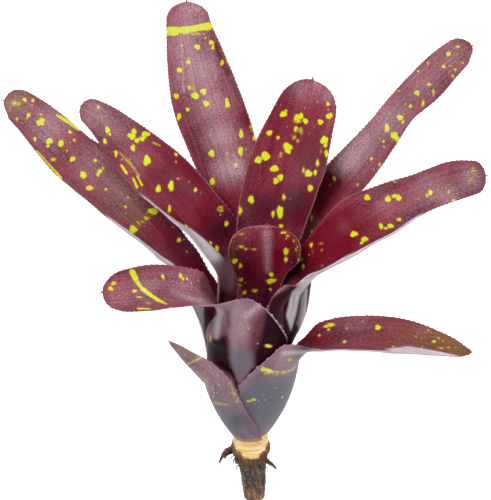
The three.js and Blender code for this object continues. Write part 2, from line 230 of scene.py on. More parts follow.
def foot_height(layer):
    height = VASE_FOOT_HEIGHT
    while vase_radius(height, layer) < VASE_FOOT_RADIUS:
        height += HEIGHT_STEP
    return height


print("vase radius at the belly:", vase_radius(VASE_BELLY_HEIGHT, 0))

# %% [markdown]
# ## The ten leaves
#
# Every leaf has its azimuth round the stem, its layer counted inwards, the height of its throat,
# the half widths of its wrapped base and the length of its rounded tip. The blade's stations are
# x, y, z, roll, half width and the radius of its channel. A seventh number widens one side. Two
# margins stand out for a short way: a flare is the side, its middle along the midrib, its reach
# and its size. A size below 0 draws the margin in.

# %% Stations of the leaves
LEAVES = {
    "leaf_back_tall": dict(
        azimuth=-165, layer=5, throat=106, sheath=(12, 20, 13), tip=7.5,
        blade=(
            (-1, 13.5, 46, 12, 12.2, 24), (-6, 31.5, 43.5, 8, 14, 30),
            (-11.6, 50, 37, 4, 15.9, 34), (-18, 68.5, 27, 2, 16, 36),
            (-23, 88, 14.5, 0, 13.4, 34), (-26.2, 102.5, 4.8, 0, 10.7, 30),
            (-27.2, 110, 1, 0, 9.8, 28), (-27.5, 116, 0.6, 0, 9.6, 28),
        ),
    ),
    "leaf_back_broad": dict(
        azimuth=160, layer=8, throat=104, sheath=(12, 16.2, 10.6), tip=14,
        blade=(
            (11.5, 11, 55, -6, 16, 22), (16.5, 30.5, 57, -4, 17, 36),
            (20, 42, 57, 0, 17, 40), (24.6, 56, 55, 4, 15, 34),
            (28.4, 69, 51, 6, 12.8, 26, 0.05), (30.2, 76.8, 48, 6, 11.6, 24, 0.07),
        ),
    ),
    "leaf_left_inner": dict(
        azimuth=-125, layer=6, throat=96, sheath=(12, 19, 14), tip=6,
        flares=((-1, 74, 8, 1.7), (-1, 94, 6, -1.4)),
        blade=(
            (-8, -7, 53.5, 50, 12.5, 15), (-14.4, 5.3, 57.5, 38, 14.4, 18, -0.03),
            (-23.6, 16.1, 58, 26, 14.6, 17, -0.03), (-30.2, 24.4, 56, 18, 14, 18, -0.01),
            (-39, 34, 52, 8, 13.2, 26), (-51, 45.5, 45, 2, 11.3, 28),
            (-63, 57.5, 36, 0, 8, 22), (-71, 63.5, 30, 0, 6, 16),
            (-75.5, 66, 27.5, 0, 5, 14),
        ),
    ),
    "leaf_left_outer": dict(
        azimuth=-112, layer=3, throat=73, sheath=(14, 20, 13), tip=7,
        flares=((1, 61, 8, 2.8),),
        blade=(
            (-19.8, -28, 45, 62, 11, 15), (-27, -8.8, 51.5, 46, 11.2, 15, -0.1),
            (-34.4, 0.1, 49.5, 40, 11.8, 16, -0.12), (-44.1, 10.9, 45.5, 30, 12.1, 18, -0.07),
            (-57.3, 23.6, 38, 16, 11.8, 24), (-70, 35.5, 29, 8, 12.2, 28),
            (-80, 43.5, 21.5, 4, 11.5, 28), (-89.5, 53, 13.5, 2, 10.6, 26),
            (-99, 62, 6, 0, 9, 22), (-107, 68, 1, 0, 7.5, 22),
            (-113, 70, 0.6, 0, 6, 22),
        ),
    ),
    "leaf_right_upper": dict(
        azimuth=125, layer=4, throat=80, sheath=(14, 20, 13), tip=7,
        blade=(
            (24, -28, 39.5, -56, 12, 15), (27, 0, 46.5, -44, 12, 14),
            (36, 20.5, 45, -34, 12, 16), (46, 32.5, 41, -24, 11, 20),
            (54.5, 43, 36, -16, 9.5, 24), (63.5, 54.5, 29, -10, 8, 24),
            (71.5, 65, 22, -6, 7.5, 22), (83, 76, 12.5, -4, 8.5, 24),
            (91.5, 85, 5.5, 0, 8, 22), (100, 92.5, 1, 0, 6.8, 22),
            (106, 95.5, 0.6, 0, 5, 22),
        ),
    ),
    "leaf_right_middle": dict(
        azimuth=85, layer=7, throat=106, sheath=(12, 17, 16), tip=6,
        blade=(
            (24.6, -14.4, 60.6, -68, 16.3, 16, 0.2), (30.8, -5.6, 64, -52, 16.1, 18, 0.3),
            (43.6, 5.2, 68, -33, 15.3, 18, 0.14),
            (51.5, 11.1, 67.5, -26, 14.4, 19, 0.02), (59.8, 16.1, 66, -20, 12.8, 22, 0.02),
            (68, 20.8, 63, -14, 10.8, 22, 0.02), (76.6, 24.6, 59.5, -10, 9.2, 24),
            (85, 28, 56, -6, 9, 24), (93.5, 31, 52, -3, 9, 22),
            (102, 32.6, 48, 0, 7.8, 18), (108.6, 33.5, 45, 0, 6.5, 14),
        ),
    ),
    "leaf_front_left": dict(
        azimuth=-10, layer=2, throat=98, sheath=(14, 23, 20), tip=12,
        blade=(
            (-8.5, -27.5, 76, 118, 15, 15), (-20, -20.5, 84, 58, 12.5, 14),
            (-31, -17.5, 86.5, 30, 10.8, 17), (-41.5, -16.9, 87, 14, 10.5, 24),
            (-50.5, -17.7, 85.5, 6, 9.5, 24), (-57.5, -18.4, 83.5, 2, 8.7, 20),
            (-62.8, -18.5, 81, 0, 8, 16),
        ),
    ),
    "leaf_low_right": dict(
        azimuth=52, layer=1, throat=76, sheath=(13, 24, 23), tip=10,
        blade=(
            (24.6, -46.6, 57, -102, 13.5, 13), (33.5, -42, 60.5, -62, 11.8, 14, 0.03),
            (44.5, -38.8, 63, -42, 10.8, 15, 0.08), (60, -37.9, 63.5, -30, 9.9, 16, 0.1),
            (73.5, -39.2, 61, -22, 8, 16, 0.04), (87, -42.2, 56, -16, 5.4, 14),
            (96.5, -45, 52, -10, 3.4, 10), (102, -46, 50, -8, 2, 8),
        ),
    ),
    "leaf_low_left": dict(
        azimuth=-46, layer=0, throat=64, sheath=(12, 15, 13), tip=6,
        blade=(
            (-14, -59.5, 52, 128, 11, 22), (-19.3, -54.6, 54, 127, 8, 12),
            (-25.8, -48.6, 57, 124, 5.5, 10), (-30.6, -43.6, 60, 120, 3.5, 8),
            (-33.3, -40.7, 62, 118, 2, 6),
        ),
    ),
    "leaf_heart": dict(
        azimuth=152, layer=9.3, throat=104, sheath=(12, 12, 10), tip=6.5,
        blade=(
            (8.4, -9, 53.6, -14, 12.6, 13.5, -0.12), (8.8, 0, 59, -4, 18, 18),
            (9.2, 6, 63, 0, 17.8, 20), (9.6, 10.8, 65, 0, 17.2, 20, 0.03),
        ),
    ),
}
print("leaves:", len(LEAVES))

# %% [markdown]
# ## A leaf's section at any distance
#
# The stations are few, so everything between them comes from a Catmull-Rom curve: the place of the
# midrib, how the blade is rolled, its width and its channel. The tip is closed by an ellipse.

# %% Sections along a leaf
SHEATH_STEPS = 6
SAMPLES_PER_STATION = 12
DIRECTION_STEP = 0.02
SHEATH_THICKNESS = 0.7
BLADE_THICKNESS = 1.1
MARGIN_THICKNESS = 0.6


def through(values, place):
    """A smooth curve through a list of numbers, at a place counted in list steps."""
    last = len(values) - 1
    i = int(clamp(math.floor(place), 0, last - 1))
    t = place - i
    here, after_here = values[i], values[i + 1]
    before = values[i - 1] if i > 0 else 2 * here - after_here
    after = values[i + 2] if i + 2 <= last else 2 * after_here - here
    square = 2 * before - 5 * here + 4 * after_here - after
    cube = 3 * (here - after_here) + after - before
    return here + 0.5 * t * (after_here - before + t * (square + t * cube))


def stations_of(leaf):
    """Columns of x, y, z, roll, half width, bend, skew and freedom, from the foot to the tip."""
    foot = foot_height(leaf["layer"])
    azimuth = leaf["azimuth"]
    roll = azimuth - 180 if azimuth > 0 else azimuth + 180
    rows = []
    for i in range(SHEATH_STEPS + 1):
        height = lerp(foot, leaf["throat"], i / SHEATH_STEPS)
        radius = vase_radius(height, leaf["layer"])
        half_width = through(leaf["sheath"], 2 * i / SHEATH_STEPS)
        rows.append((*beside_axis(height, radius, azimuth), roll, half_width, 1 / radius, 0, 0))
    for x, y, z, roll, half_width, radius, *skew in leaf["blade"]:
        rows.append((x, y, z, roll, half_width, 1 / radius, skew[0] if skew else 0, 1))
    return list(zip(*rows))


class LeafShape:
    """A leaf's midrib and its section at any distance in millimetres from the foot."""

    def __init__(self, leaf):
        self.leaf = leaf
        self.columns = stations_of(leaf)
        self.last = len(self.columns[0]) - 1
        samples = self.last * SAMPLES_PER_STATION
        spots = [self.middle(i / SAMPLES_PER_STATION) for i in range(samples + 1)]
        steps = [(b - a).length for a, b in zip(spots, spots[1:])]
        self.distances = np.concatenate(([0.0], np.cumsum(steps)))
        self.places = np.arange(samples + 1) / SAMPLES_PER_STATION
        self.total = float(self.distances[-1])

    def middle(self, place):
        return Vector([through(column, place) for column in self.columns[:3]])

    def section(self, distance):
        place = float(np.interp(distance, self.distances, self.places))
        ahead = self.middle(min(place + DIRECTION_STEP, self.last))
        behind = self.middle(max(place - DIRECTION_STEP, 0))
        roll, half_width, bend, skew, free = [through(c, place) for c in self.columns[3:]]
        free = clamp(free)
        along = AXIS.lerp((ahead - behind).normalized(), free).normalized()
        level = (UP - along * UP.dot(along)).normalized()
        turn = math.radians(roll)
        normal = level * math.cos(turn) + along.cross(level) * math.sin(turn)
        before_tip = clamp((self.total - distance) / self.leaf["tip"])
        half_width *= math.sqrt(1 - (1 - before_tip) ** 2)
        return dict(
            middle=self.middle(place), along=along, normal=normal, width=along.cross(normal),
            half_width=half_width, bend=bend, skew=skew, free=free,
        )

    def at(self, section, across):
        """The upper face's point and normal, and the thickness, at -1 to 1 across a section."""
        bend = section["bend"]
        turn = bend * section["half_width"] * (across + section["skew"] * across**2)
        point = section["middle"] + section["width"] * (math.sin(turn) / bend)
        point = point + section["normal"] * ((1 - math.cos(turn)) / bend)
        point = keep_outside(point, self.leaf["layer"])
        face = section["normal"] * math.cos(turn) - section["width"] * math.sin(turn)
        midrib = lerp(SHEATH_THICKNESS, BLADE_THICKNESS, section["free"])
        return point, face, lerp(MARGIN_THICKNESS, midrib, 1 - across**2)


for name, leaf in LEAVES.items():
    print(name, "midrib in mm:", round(LeafShape(leaf).total, 1))

# %% [markdown]
# ## Growing a leaf's skin
#
# The skin starts as a flat grid, extruded into a thin slab. Every corner of the slab then takes its
# place on the leaf, upper corners on the upper face and lower ones beneath. This keeps the skin
# closed and evenly divided. A real blade is never quite smooth, so it gets a faint channel at the
# midrib, fine lengthwise ribs and a margin that flutters a little.

# %% Leaf skin from a grid
TINY = 1e-4  # corners closer than this are in one place
ROW_PITCH = 0.75
COLUMNS = 46
LAST_TIP_ANGLE = 86
RIB_SPACING = 1.5
RIB_DEPTH = 0.03
CHANNEL_DEPTH = 0.12
CHANNEL_WIDTH = 0.9
FLUTTER = 0.3
FLUTTER_LENGTH = 9.0
SWELL = 0.12
SWELL_LENGTH = 6.0
FLARE_START = 0.35
NOISE_STEP = 7.3
LEAF_STEP = 40.0  # keeps the patterns of two leaves apart


def fine_rows(shape):
    """Distances of the rows from the foot, closer together where the tip rounds off."""
    plain = shape.total - shape.leaf["tip"]
    count = math.ceil(plain / ROW_PITCH)
    rows = [plain * i / count for i in range(count + 1)]
    turns = math.ceil(shape.leaf["tip"] * math.pi / 2 / ROW_PITCH)
    for i in range(1, turns + 1):
        rows.append(plain + shape.leaf["tip"] * math.sin(math.radians(LAST_TIP_ANGLE * i / turns)))
    return rows


def relief(distance, width_place, across, seed, free):
    """How far the living surface stands above the plain form, in millimetres."""
    rib = RIB_DEPTH * math.cos(2 * math.pi * width_place / RIB_SPACING)
    channel = -CHANNEL_DEPTH * math.exp(-((width_place / CHANNEL_WIDTH) ** 2))
    wave = noise.noise(Vector((distance / FLUTTER_LENGTH, across, seed)))
    flutter = FLUTTER * across**4 * wave
    spot = Vector((distance / SWELL_LENGTH, width_place / SWELL_LENGTH, seed + 5))
    return free * (rib + channel + flutter + SWELL * noise.noise(spot))


def flare(leaf, section, distance, across):
    """A level push outwards, where a margin stands out further than the plain form."""
    outward = Vector((section["width"].x, section["width"].y, 0)).normalized()
    push = 0.0
    for side, centre, reach, size in leaf.get("flares", ()):
        if across * side > 0:
            near = math.exp(-(((distance - centre) / reach) ** 2))
            push += side * size * near * smoothstep(abs(across), FLARE_START, 1)
    return outward * push


def leaf_slab(shape, rows, number):
    """The closed skin, with the faces of its two margins and of the wall at its tip."""
    bm = bmesh.new()
    place_layer = bm.verts.layers.float_vector.new("place")
    upper_layer = bm.verts.layers.float.new("upper")
    last = len(rows) - 1
    seed = number * NOISE_STEP
    bmesh.ops.create_grid(bm, x_segments=COLUMNS, y_segments=last, size=1)
    lower = bmesh.ops.extrude_face_region(bm, geom=bm.faces[:], use_keep_orig=True)["geom"]
    lower_verts = [v for v in lower if isinstance(v, bmesh.types.BMVert)]
    bmesh.ops.translate(bm, verts=lower_verts, vec=(0, 0, -1))
    margins = [f for f in bm.faces if all(abs(abs(v.co.x) - 1) < TINY for v in f.verts)]
    tip_wall = [f for f in bm.faces if all(v.co.y > 1 - TINY for v in f.verts)]
    sections = [shape.section(distance) for distance in rows]
    for v in bm.verts:
        row = round((v.co.y + 1) / 2 * last)
        across, under = v.co.x, v.co.z < -0.5
        section = sections[row]
        point, face, thickness = shape.at(section, across)
        point = point + flare(shape.leaf, section, rows[row], across)
        width_place = across * section["half_width"]
        rise = relief(rows[row], width_place, across, seed, section["free"])
        point = point + face * (rise - (thickness if under else 0))
        point.z = max(point.z, 0 if under else MARGIN_THICKNESS)
        v.co = point
        v[place_layer] = (width_place + number * LEAF_STEP, rows[row], across)
        v[upper_layer] = 0 if under else 1
    bmesh.ops.recalc_face_normals(bm, faces=bm.faces)
    if bm.calc_volume(signed=True) < 0:
        bmesh.ops.reverse_faces(bm, faces=bm.faces)
    return bm, margins, tip_wall


print("faces across a leaf:", COLUMNS, "each", ROW_PITCH, "mm long")

# %% [markdown]
# ## Teeth and the end spine
#
# Neoregelia margins carry small forward-pointing teeth, and every blade ends in a short dark spine.
# They could be scattered as separate cones, but they grow out of the margin, so here a face of the
# margin is pulled out and drawn together into a point.

# %% Teeth along the margins, spine at the tip
TOOTH_EVERY = 3  # rows
TOOTH_AT_BASE = 0.7
TOOTH_AT_TIP = 0.35
TOOTH_SHARE = 0.9  # the rest have broken off
TOOTH_LENGTHS = (0.7, 1.15)
TOOTH_LEAN = 0.6
TOOTH_POINT = 0.15
SPINE_STEPS = 4
SPINE_LENGTH = 2.4
SPINE_TAPER = 0.62
SPINE_LIFT = 0.12
SPINE_CLEARANCE = 0.05


def forward_of(face, place_layer):
    """The direction towards the leaf's tip along a small face of its margin."""
    ordered = sorted(face.verts, key=lambda v: v[place_layer].y)
    half = len(ordered) // 2
    back = sum((v.co for v in ordered[:half]), Vector()) / half
    ahead = sum((v.co for v in ordered[half:]), Vector()) / (len(ordered) - half)
    return (ahead - back).normalized()


def add_teeth(bm, margins, total, draw):
    """Pulls teeth out of the margin's faces and returns how many."""
    place_layer = bm.verts.layers.float_vector["place"]
    margins = sorted(margins, key=lambda f: (f.calc_center_median().x, f.calc_center_median().y))
    chosen = []
    for face in margins:
        row = min(v[place_layer].y for v in face.verts)
        step = round(row / ROW_PITCH)
        if step % TOOTH_EVERY == 0 and draw.random() < TOOTH_SHARE:
            chosen.append(face)
    grown = bmesh.ops.extrude_discrete_faces(bm, faces=chosen)["faces"]
    for face in grown:
        centre = face.calc_center_median()
        share = face.verts[0][place_layer].y / total
        length = lerp(TOOTH_AT_BASE, TOOTH_AT_TIP, share) * draw.uniform(*TOOTH_LENGTHS)
        reach = face.normal * length + forward_of(face, place_layer) * length * TOOTH_LEAN
        for v in face.verts:
            v.co = centre + (v.co - centre) * TOOTH_POINT + reach
            v.co.z = max(v.co.z, 0)
    return len(grown)


def add_spine(bm, tip_wall, shape):
    """Draws the wall at the tip out into a spine, and marks it for the material."""
    spine_layer = bm.verts.layers.float.new("spine")
    end = shape.section(shape.total)
    faces = tip_wall
    for step in range(SPINE_STEPS):
        grown = bmesh.ops.extrude_face_region(bm, geom=faces)["geom"]
        verts = [g for g in grown if isinstance(g, bmesh.types.BMVert)]
        faces = [g for g in grown if isinstance(g, bmesh.types.BMFace)]
        centre = sum((v.co for v in verts), Vector()) / len(verts)
        lift = end["normal"] * (SPINE_LIFT * step)
        for v in verts:
            v.co = centre + (v.co - centre) * SPINE_TAPER
            v.co += end["along"] * (SPINE_LENGTH / SPINE_STEPS) + lift
            v.co.z = max(v.co.z, SPINE_CLEARANCE)
            v[spine_layer] = (step + 1) / SPINE_STEPS


print("a tooth every", TOOTH_EVERY * ROW_PITCH, "mm")

# %% [markdown]
# ## Where the marks are
#
# The plant is known for its lime spots, patches that lack the red pigment. They are irregular but
# not random: some leaves carry a whole band. So the large marks are placed one by one, as seen
# from the camera, and only the small flecks are left to chance in the material. A spot is x, y,
# width and height, counted in view steps to the right and down. A streak is x, y at both ends and
# its width at both ends. A last number below 1 makes a mark broken and faint.

# %% Lime marks
SPOTS = {
    "leaf_back_tall": (
        (171, 31.5, 10, 10), (182, 45, 3, 4), (197.5, 47, 7, 6), (211.5, 42.5, 6.5, 5),
        (213, 47, 3.5, 7), (222, 62.5, 4, 6.5), (179.5, 70, 6, 6.5), (188, 62, 6, 5, 0.6),
        (189, 60, 3, 6, 0.7), (190.5, 75, 2, 6, 0.6), (190, 87, 6, 6, 0.55),
        (195, 95.5, 8, 8, 0.85), (203.5, 91.5, 7, 7, 0.9), (206, 103.5, 7.5, 6.5, 0.95),
        (176.5, 96, 5.5, 6.5), (187.5, 109.5, 4, 5), (179, 116.5, 4.8, 8), (226.5, 100, 4, 6),
        (227.5, 104.5, 6, 6.5), (241, 134, 5.5, 9), (250.5, 127, 2.5, 5),
        (211.5, 153.5, 7, 7.5, 0.9), (240.5, 151, 6, 8.5, 0.85), (235.5, 165, 5.5, 5.5, 0.55),
        (227, 153, 3.5, 4.5, 0.5), (212.5, 181.5, 5, 9.5), (254.5, 138, 4, 7), (222, 50, 2, 3),
        (186.5, 15, 2, 2.5, 0.8), (202.5, 13.5, 2, 2.5, 0.8), (205, 38, 2.5, 3, 0.8),
        (210, 135, 2, 4, 0.5), (231, 76, 2, 3), (227, 61.5, 2, 4), (196, 72.5, 1.8, 1.8, 0.7),
        (252, 130.5, 3, 3),
    ),
    "leaf_back_broad": (
        (283.5, 114, 7, 7), (286, 110.5, 4, 4), (297, 117.5, 7, 7), (301, 116, 4.5, 8),
        (297.5, 121.5, 9, 3, 0.7), (305.5, 121, 5.5, 6), (320.5, 122, 6, 6.5), (328, 104, 5.4, 4),
        (329.5, 116, 7, 6.5), (269.5, 133, 6, 6), (278, 137.5, 4, 4.5), (296, 129, 5, 6, 0.7),
        (301, 131, 4, 7, 0.55), (294, 137, 4, 6, 0.5), (298, 141, 3, 4, 0.5),
        (287.5, 146.5, 11, 7.5), (288, 151, 6, 6), (265.5, 156, 10, 9), (258, 160, 8, 7),
        (324, 140, 8.5, 8), (325.5, 145, 4.5, 6), (326.5, 153.5, 4.5, 8.5), (317.5, 163, 4, 8),
        (321, 151, 2, 5.5), (274.5, 168.5, 8, 7.5), (280.5, 177, 6, 6.5), (276, 181, 7, 6.5),
        (308.5, 173.5, 9.5, 6.5), (303.5, 170, 3.4, 7), (315.5, 172.5, 4, 6),
        (310.3, 188, 5.5, 8.5), (284, 197, 3.6, 7, 0.85), (251, 199.5, 6, 9),
        (240.3, 210.5, 4.5, 8.5), (280, 212, 7.5, 12.5), (273, 214, 4, 7.5), (317, 101.5, 2.5, 2.5),
        (315, 82.5, 2, 2.6, 0.5), (305, 108, 1.6, 2.5, 0.7), (281.5, 105, 2, 2, 0.7),
        (281, 155, 4, 5, 0.5), (290, 199, 2, 2.6), (281, 226, 5, 4), (309, 133, 1.6, 2.4, 0.8),
        (247, 158.5, 3, 3),
    ),
    "leaf_left_inner": (
        (107.5, 130, 5, 9), (110, 134.5, 3, 4), (131.5, 136, 9, 7), (134, 131, 6.5, 5),
        (137, 140.5, 6, 5), (146, 134, 9, 6), (142.5, 138.5, 8, 5), (133, 148, 5, 8),
        (147, 160.5, 8.5, 9.5), (116, 153.5, 4.5, 7), (98.5, 107, 3, 5, 0.8),
        (102, 117.5, 2, 2.4, 0.8), (105, 141.5, 4, 8), (176, 154.5, 4, 4.5), (176, 162, 2.8, 3),
        (158.3, 189, 5.5, 9), (171, 186, 6.5, 10), (178, 178.5, 3, 3), (195.5, 190, 4, 5),
        (189, 181.5, 2.4, 2.4, 0.8), (200.5, 192.5, 2, 2.4), (169.5, 208.5, 4, 9), (187, 226, 4, 5),
        (226.5, 223.5, 4.5, 6), (220.5, 209, 7, 6, 0.55), (211, 242.5, 3.6, 5),
        (217, 248.5, 5, 6.5), (181, 178, 1.6, 1.8, 0.8),
    ),
    "leaf_left_outer": (
        (40.5, 122, 9, 8), (24.5, 99.5, 5.5, 5, 0.85), (33, 100.5, 4, 4.5, 0.85),
        (28.5, 115, 4.4, 5), (41, 114, 4, 2.5, 0.8), (27, 118.5, 3, 2.5, 0.9),
        (17, 119, 3, 4.4, 0.7), (49.5, 141, 7, 7), (48, 146, 4, 4), (61, 143.5, 7, 6.5),
        (70, 132, 5, 4), (74, 140, 4, 3, 0.7), (67, 150.5, 3, 3.4, 0.8), (72.5, 159, 6, 6, 0.85),
        (35, 139, 4, 5), (53.5, 159.5, 6, 3.4, 0.7), (83.3, 175, 8, 7.5), (89.5, 188, 7.5, 6),
        (95.3, 160.3, 5, 4), (100, 171, 5, 5, 0.9), (103, 168, 4, 3, 0.7), (98, 174.5, 5, 4, 0.8),
        (106, 189, 3.2, 4, 0.9), (125.5, 206.5, 3, 4), (179, 240, 5, 5), (173, 227, 2.4, 2.6),
        (187, 251.5, 2.2, 2.2), (153, 211, 10, 8), (133.5, 229, 9, 9, 0.85), (17, 103, 10, 7, 0.45),
        (128, 197, 2.6, 2.8, 0.8),
    ),
    "leaf_right_upper": (
        (448.5, 54, 5.5, 5.5, 0.95), (458, 46.5, 5, 3.4, 0.7), (443.5, 66.5, 4.4, 4.6),
        (449.5, 65.5, 3, 2.4), (455.5, 69.5, 3, 4.6), (462.5, 63, 2.4, 3.4), (453, 76, 3, 4.4, 0.7),
        (457, 54.5, 2, 2.8), (418.3, 71.5, 3, 3.4), (428, 63.5, 3, 4.4, 0.7), (410, 75, 2, 2.2),
        (417, 93, 5.6, 6.4), (429, 84.5, 4.4, 4.4, 0.85), (420.5, 82, 2, 2.4),
        (433.5, 92.5, 3, 7, 0.7), (410.5, 106, 4, 4.6), (399.3, 91, 3.6, 2.6), (404.5, 97.5, 2, 2),
        (400, 117.5, 6.5, 7), (403, 122, 3.6, 4), (423, 103.5, 3.6, 7, 0.8), (387, 128, 6, 9, 0.75),
        (394, 135.5, 7, 9, 0.85), (397, 138.5, 6.5, 6), (383.5, 141.5, 3.2, 4),
        (379.5, 138, 2.4, 2.4, 0.8), (384, 147, 2.6, 3.4, 0.8), (371.5, 158.5, 3.2, 5, 0.9),
        (379.5, 164, 3, 5, 0.8), (334.5, 178.5, 3.4, 6, 0.9), (330, 184.5, 2.4, 3),
        (345, 166, 3, 3.4, 0.5), (357.5, 184.5, 2.4, 4, 0.7), (392, 125.5, 2, 2.2, 0.8),
        (311.5, 217.5, 3.2, 9), (311.5, 231.5, 3, 5),
    ),
    "leaf_right_middle": (
        (367.3, 197.5, 7, 6.5), (388, 198.8, 6, 7.5), (394.2, 196, 5, 5.5), (398.6, 197.8, 6, 7),
        (430.5, 192.6, 5.6, 6.5), (427, 195.5, 3.4, 4.4, 0.85), (453.5, 200.3, 5, 3.8),
        (449, 191.5, 3, 4, 0.5), (381, 226, 5.4, 7.5), (385.5, 228, 4.5, 4), (390.5, 226, 7, 5.4),
        (399, 219.5, 4.8, 5.2), (354, 234, 8, 6.4), (364.5, 239, 7.4, 6.6), (361.5, 242.5, 5, 4.4),
        (311.3, 245, 3.6, 6.4), (312.5, 252, 2, 2.6, 0.9), (321.5, 243.2, 3.4, 2.8),
        (321.5, 249.8, 3, 2.8), (318.5, 243.5, 1.8, 2.4), (321.5, 265, 3.2, 2.2),
        (344.5, 256, 3.4, 2, 0.8), (301.5, 259, 3, 7), (303, 266, 3, 6.4), (395, 182, 3.6, 2, 0.8),
        (418, 199, 3.4, 1.8, 0.6), (473, 170, 6, 6, 0.45), (471, 180, 6, 6, 0.4),
        (476, 176, 3, 5, 0.4), (438, 190, 2, 3, 0.5), (449, 186, 1.8, 3, 0.5),
    ),
    "leaf_heart": (
        (241, 234, 8, 2.4, 0.85), (235.5, 237, 4, 2.4, 0.8), (241.5, 246.5, 7, 3.6),
        (246, 249, 5, 3), (253.5, 249.3, 7, 2.4, 0.95), (235, 261, 6.5, 6),
        (240.5, 266, 4.6, 5.6, 0.95), (241, 280, 5.8, 5), (244.5, 292.5, 3.8, 5),
        (271, 274.5, 5.6, 5), (271, 281, 10.5, 5.4), (270, 289.5, 3.4, 3.8, 0.85),
        (255, 290.5, 5.4, 3.8, 0.65), (286, 251.5, 6, 7.5), (286, 259.5, 4, 6.6),
        (284, 232.5, 7, 3.2), (288, 236, 5, 2.6), (293.5, 240.5, 3.6, 3), (240, 286, 5, 3, 0.75),
        (299, 261, 2.4, 5, 0.85), (296, 250, 2.4, 4, 0.7),
    ),
    "leaf_front_left": (
        (110.5, 288.5, 6, 5), (113.5, 283.3, 6, 4.4, 0.85), (134.5, 290.8, 6.5, 3.4, 0.85),
        (139, 297, 6, 2.6, 0.7), (163, 276.5, 4, 6.5, 0.9), (180.6, 275.5, 4.4, 6.4),
        (183, 279, 3, 4), (187, 278.5, 2.8, 3.8), (192, 282.5, 2.2, 2.6), (147.5, 263.5, 3.4, 2.2),
        (198.5, 280.5, 2.4, 2.6, 0.8), (201, 299, 6, 3, 0.5), (148, 303, 6, 2.4, 0.5),
        (210.5, 338, 2.6, 10), (268.5, 346, 8, 4), (257.5, 344, 3, 2.4, 0.9),
        (244.5, 337, 1.8, 1.8), (235, 341.5, 1.8, 1.8, 0.8), (214, 345.5, 2.2, 2.4, 0.9),
        (221, 300.5, 1.8, 1.8, 0.7),
    ),
    "leaf_low_right": (
        (330.5, 324.8, 10, 4.2), (326, 326.5, 6, 3.6), (328.5, 329.5, 3, 4), (378, 327.3, 7.5, 5.2),
        (344.5, 341.6, 5, 3.2, 0.95), (319, 335.5, 3.6, 2.6, 0.8), (393.5, 346.3, 3.6, 2.2),
        (434, 341.5, 4, 3.6), (438.5, 338, 2.8, 2.6), (448.5, 347.5, 4, 2.2),
        (441, 348, 6, 2, 0.85), (428.5, 330.3, 2.6, 1.8), (416, 336.5, 2.4, 1.8, 0.8),
        (422, 338.3, 2, 2), (362.5, 321, 2.2, 2), (443, 341, 2.6, 2.2, 0.9), (347, 328, 4, 5, 0.4),
        (289.5, 359.5, 5, 3, 0.7), (249.5, 401, 6, 3.4, 0.85), (253.5, 399.5, 6.5, 3.2, 0.85),
        (270.5, 397.5, 3.4, 2.4, 0.8), (282.5, 397.5, 4, 2.4, 0.8), (250.5, 375, 2, 2, 0.9),
        (270, 383, 2, 2, 0.7), (246, 383.5, 1.8, 1.8, 0.9), (261.5, 404.5, 2, 2, 0.7),
        (276, 388, 1.8, 2.4, 0.8),
    ),
    "leaf_low_left": (
        (204.5, 373, 3, 2.6, 0.6), (206.5, 381, 3.4, 3.2, 0.55), (210, 367, 2, 2, 0.7),
        (208, 394, 2.4, 4, 0.5), (218, 376, 2.6, 3, 0.5), (226.5, 379, 2, 3, 0.6),
    ),
}
STREAKS = {
    "leaf_back_tall": (
        (169, 31, 176, 31, 9, 9), (177, 30.5, 187, 29.5, 7, 8, 0.9),
        (188, 29, 195, 28.5, 6.5, 7, 0.9), (195, 28.5, 209, 26, 7, 8.5),
        (192, 80, 193, 92, 2, 4, 0.5), (178, 34, 204, 34, 2, 2, 0.5),
    ),
    "leaf_left_inner": (
        (121, 165, 126.5, 173, 2.6, 3.4), (133, 178, 137, 187, 2.4, 3.4),
        (137, 176, 142, 185, 2, 2.8), (119, 152, 134, 168, 1.2, 1.6, 0.55),
        (127, 158, 139, 176, 1.2, 1.8, 0.5), (153, 142.5, 160, 145.5, 1.8, 2, 0.7),
    ),
    "leaf_left_outer": (
        (57.5, 115.5, 66, 120.5, 3.4, 4.4, 0.9), (66, 120.5, 78.5, 128.5, 4.4, 5, 0.95),
        (37, 151, 61, 178, 2, 3, 0.9), (149, 215, 136, 226, 7, 7, 0.3),
    ),
    "leaf_front_left": (
        (132, 272, 136, 279, 6.5, 6, 0.9), (137, 281, 139.5, 285, 5, 4.5, 0.7),
        (139, 285, 143, 290, 3.5, 4, 0.8), (143, 289, 151, 295.5, 4.5, 4.5, 0.9),
        (151, 295.5, 158, 300, 4, 4, 0.85), (158, 300, 166.5, 304, 3.5, 2, 0.85),
        (170, 308, 188, 309, 2, 1.6, 0.8), (138, 308.5, 150, 309, 2.4, 2, 0.8),
    ),
    "leaf_low_right": (
        (262.5, 369, 271, 371.5, 5, 4.6, 0.75), (271, 372.5, 286, 372.5, 3.4, 3, 0.6),
        (286, 372, 297, 367, 2.6, 2.6, 0.5), (297, 367, 302, 357, 3, 3, 0.4),
        (264, 375, 292, 374, 2.4, 2.4, 0.3),
    ),
    "leaf_low_left": (
        (188, 364, 201, 357.5, 2, 2.6, 0.65), (209, 402, 229, 405, 2.6, 1.8, 0.5),
        (229, 384, 238, 402, 3, 3.4, 0.4),
    ),
}
print("spots:", sum(map(len, SPOTS.values())), "streaks:", sum(map(len, STREAKS.values())))
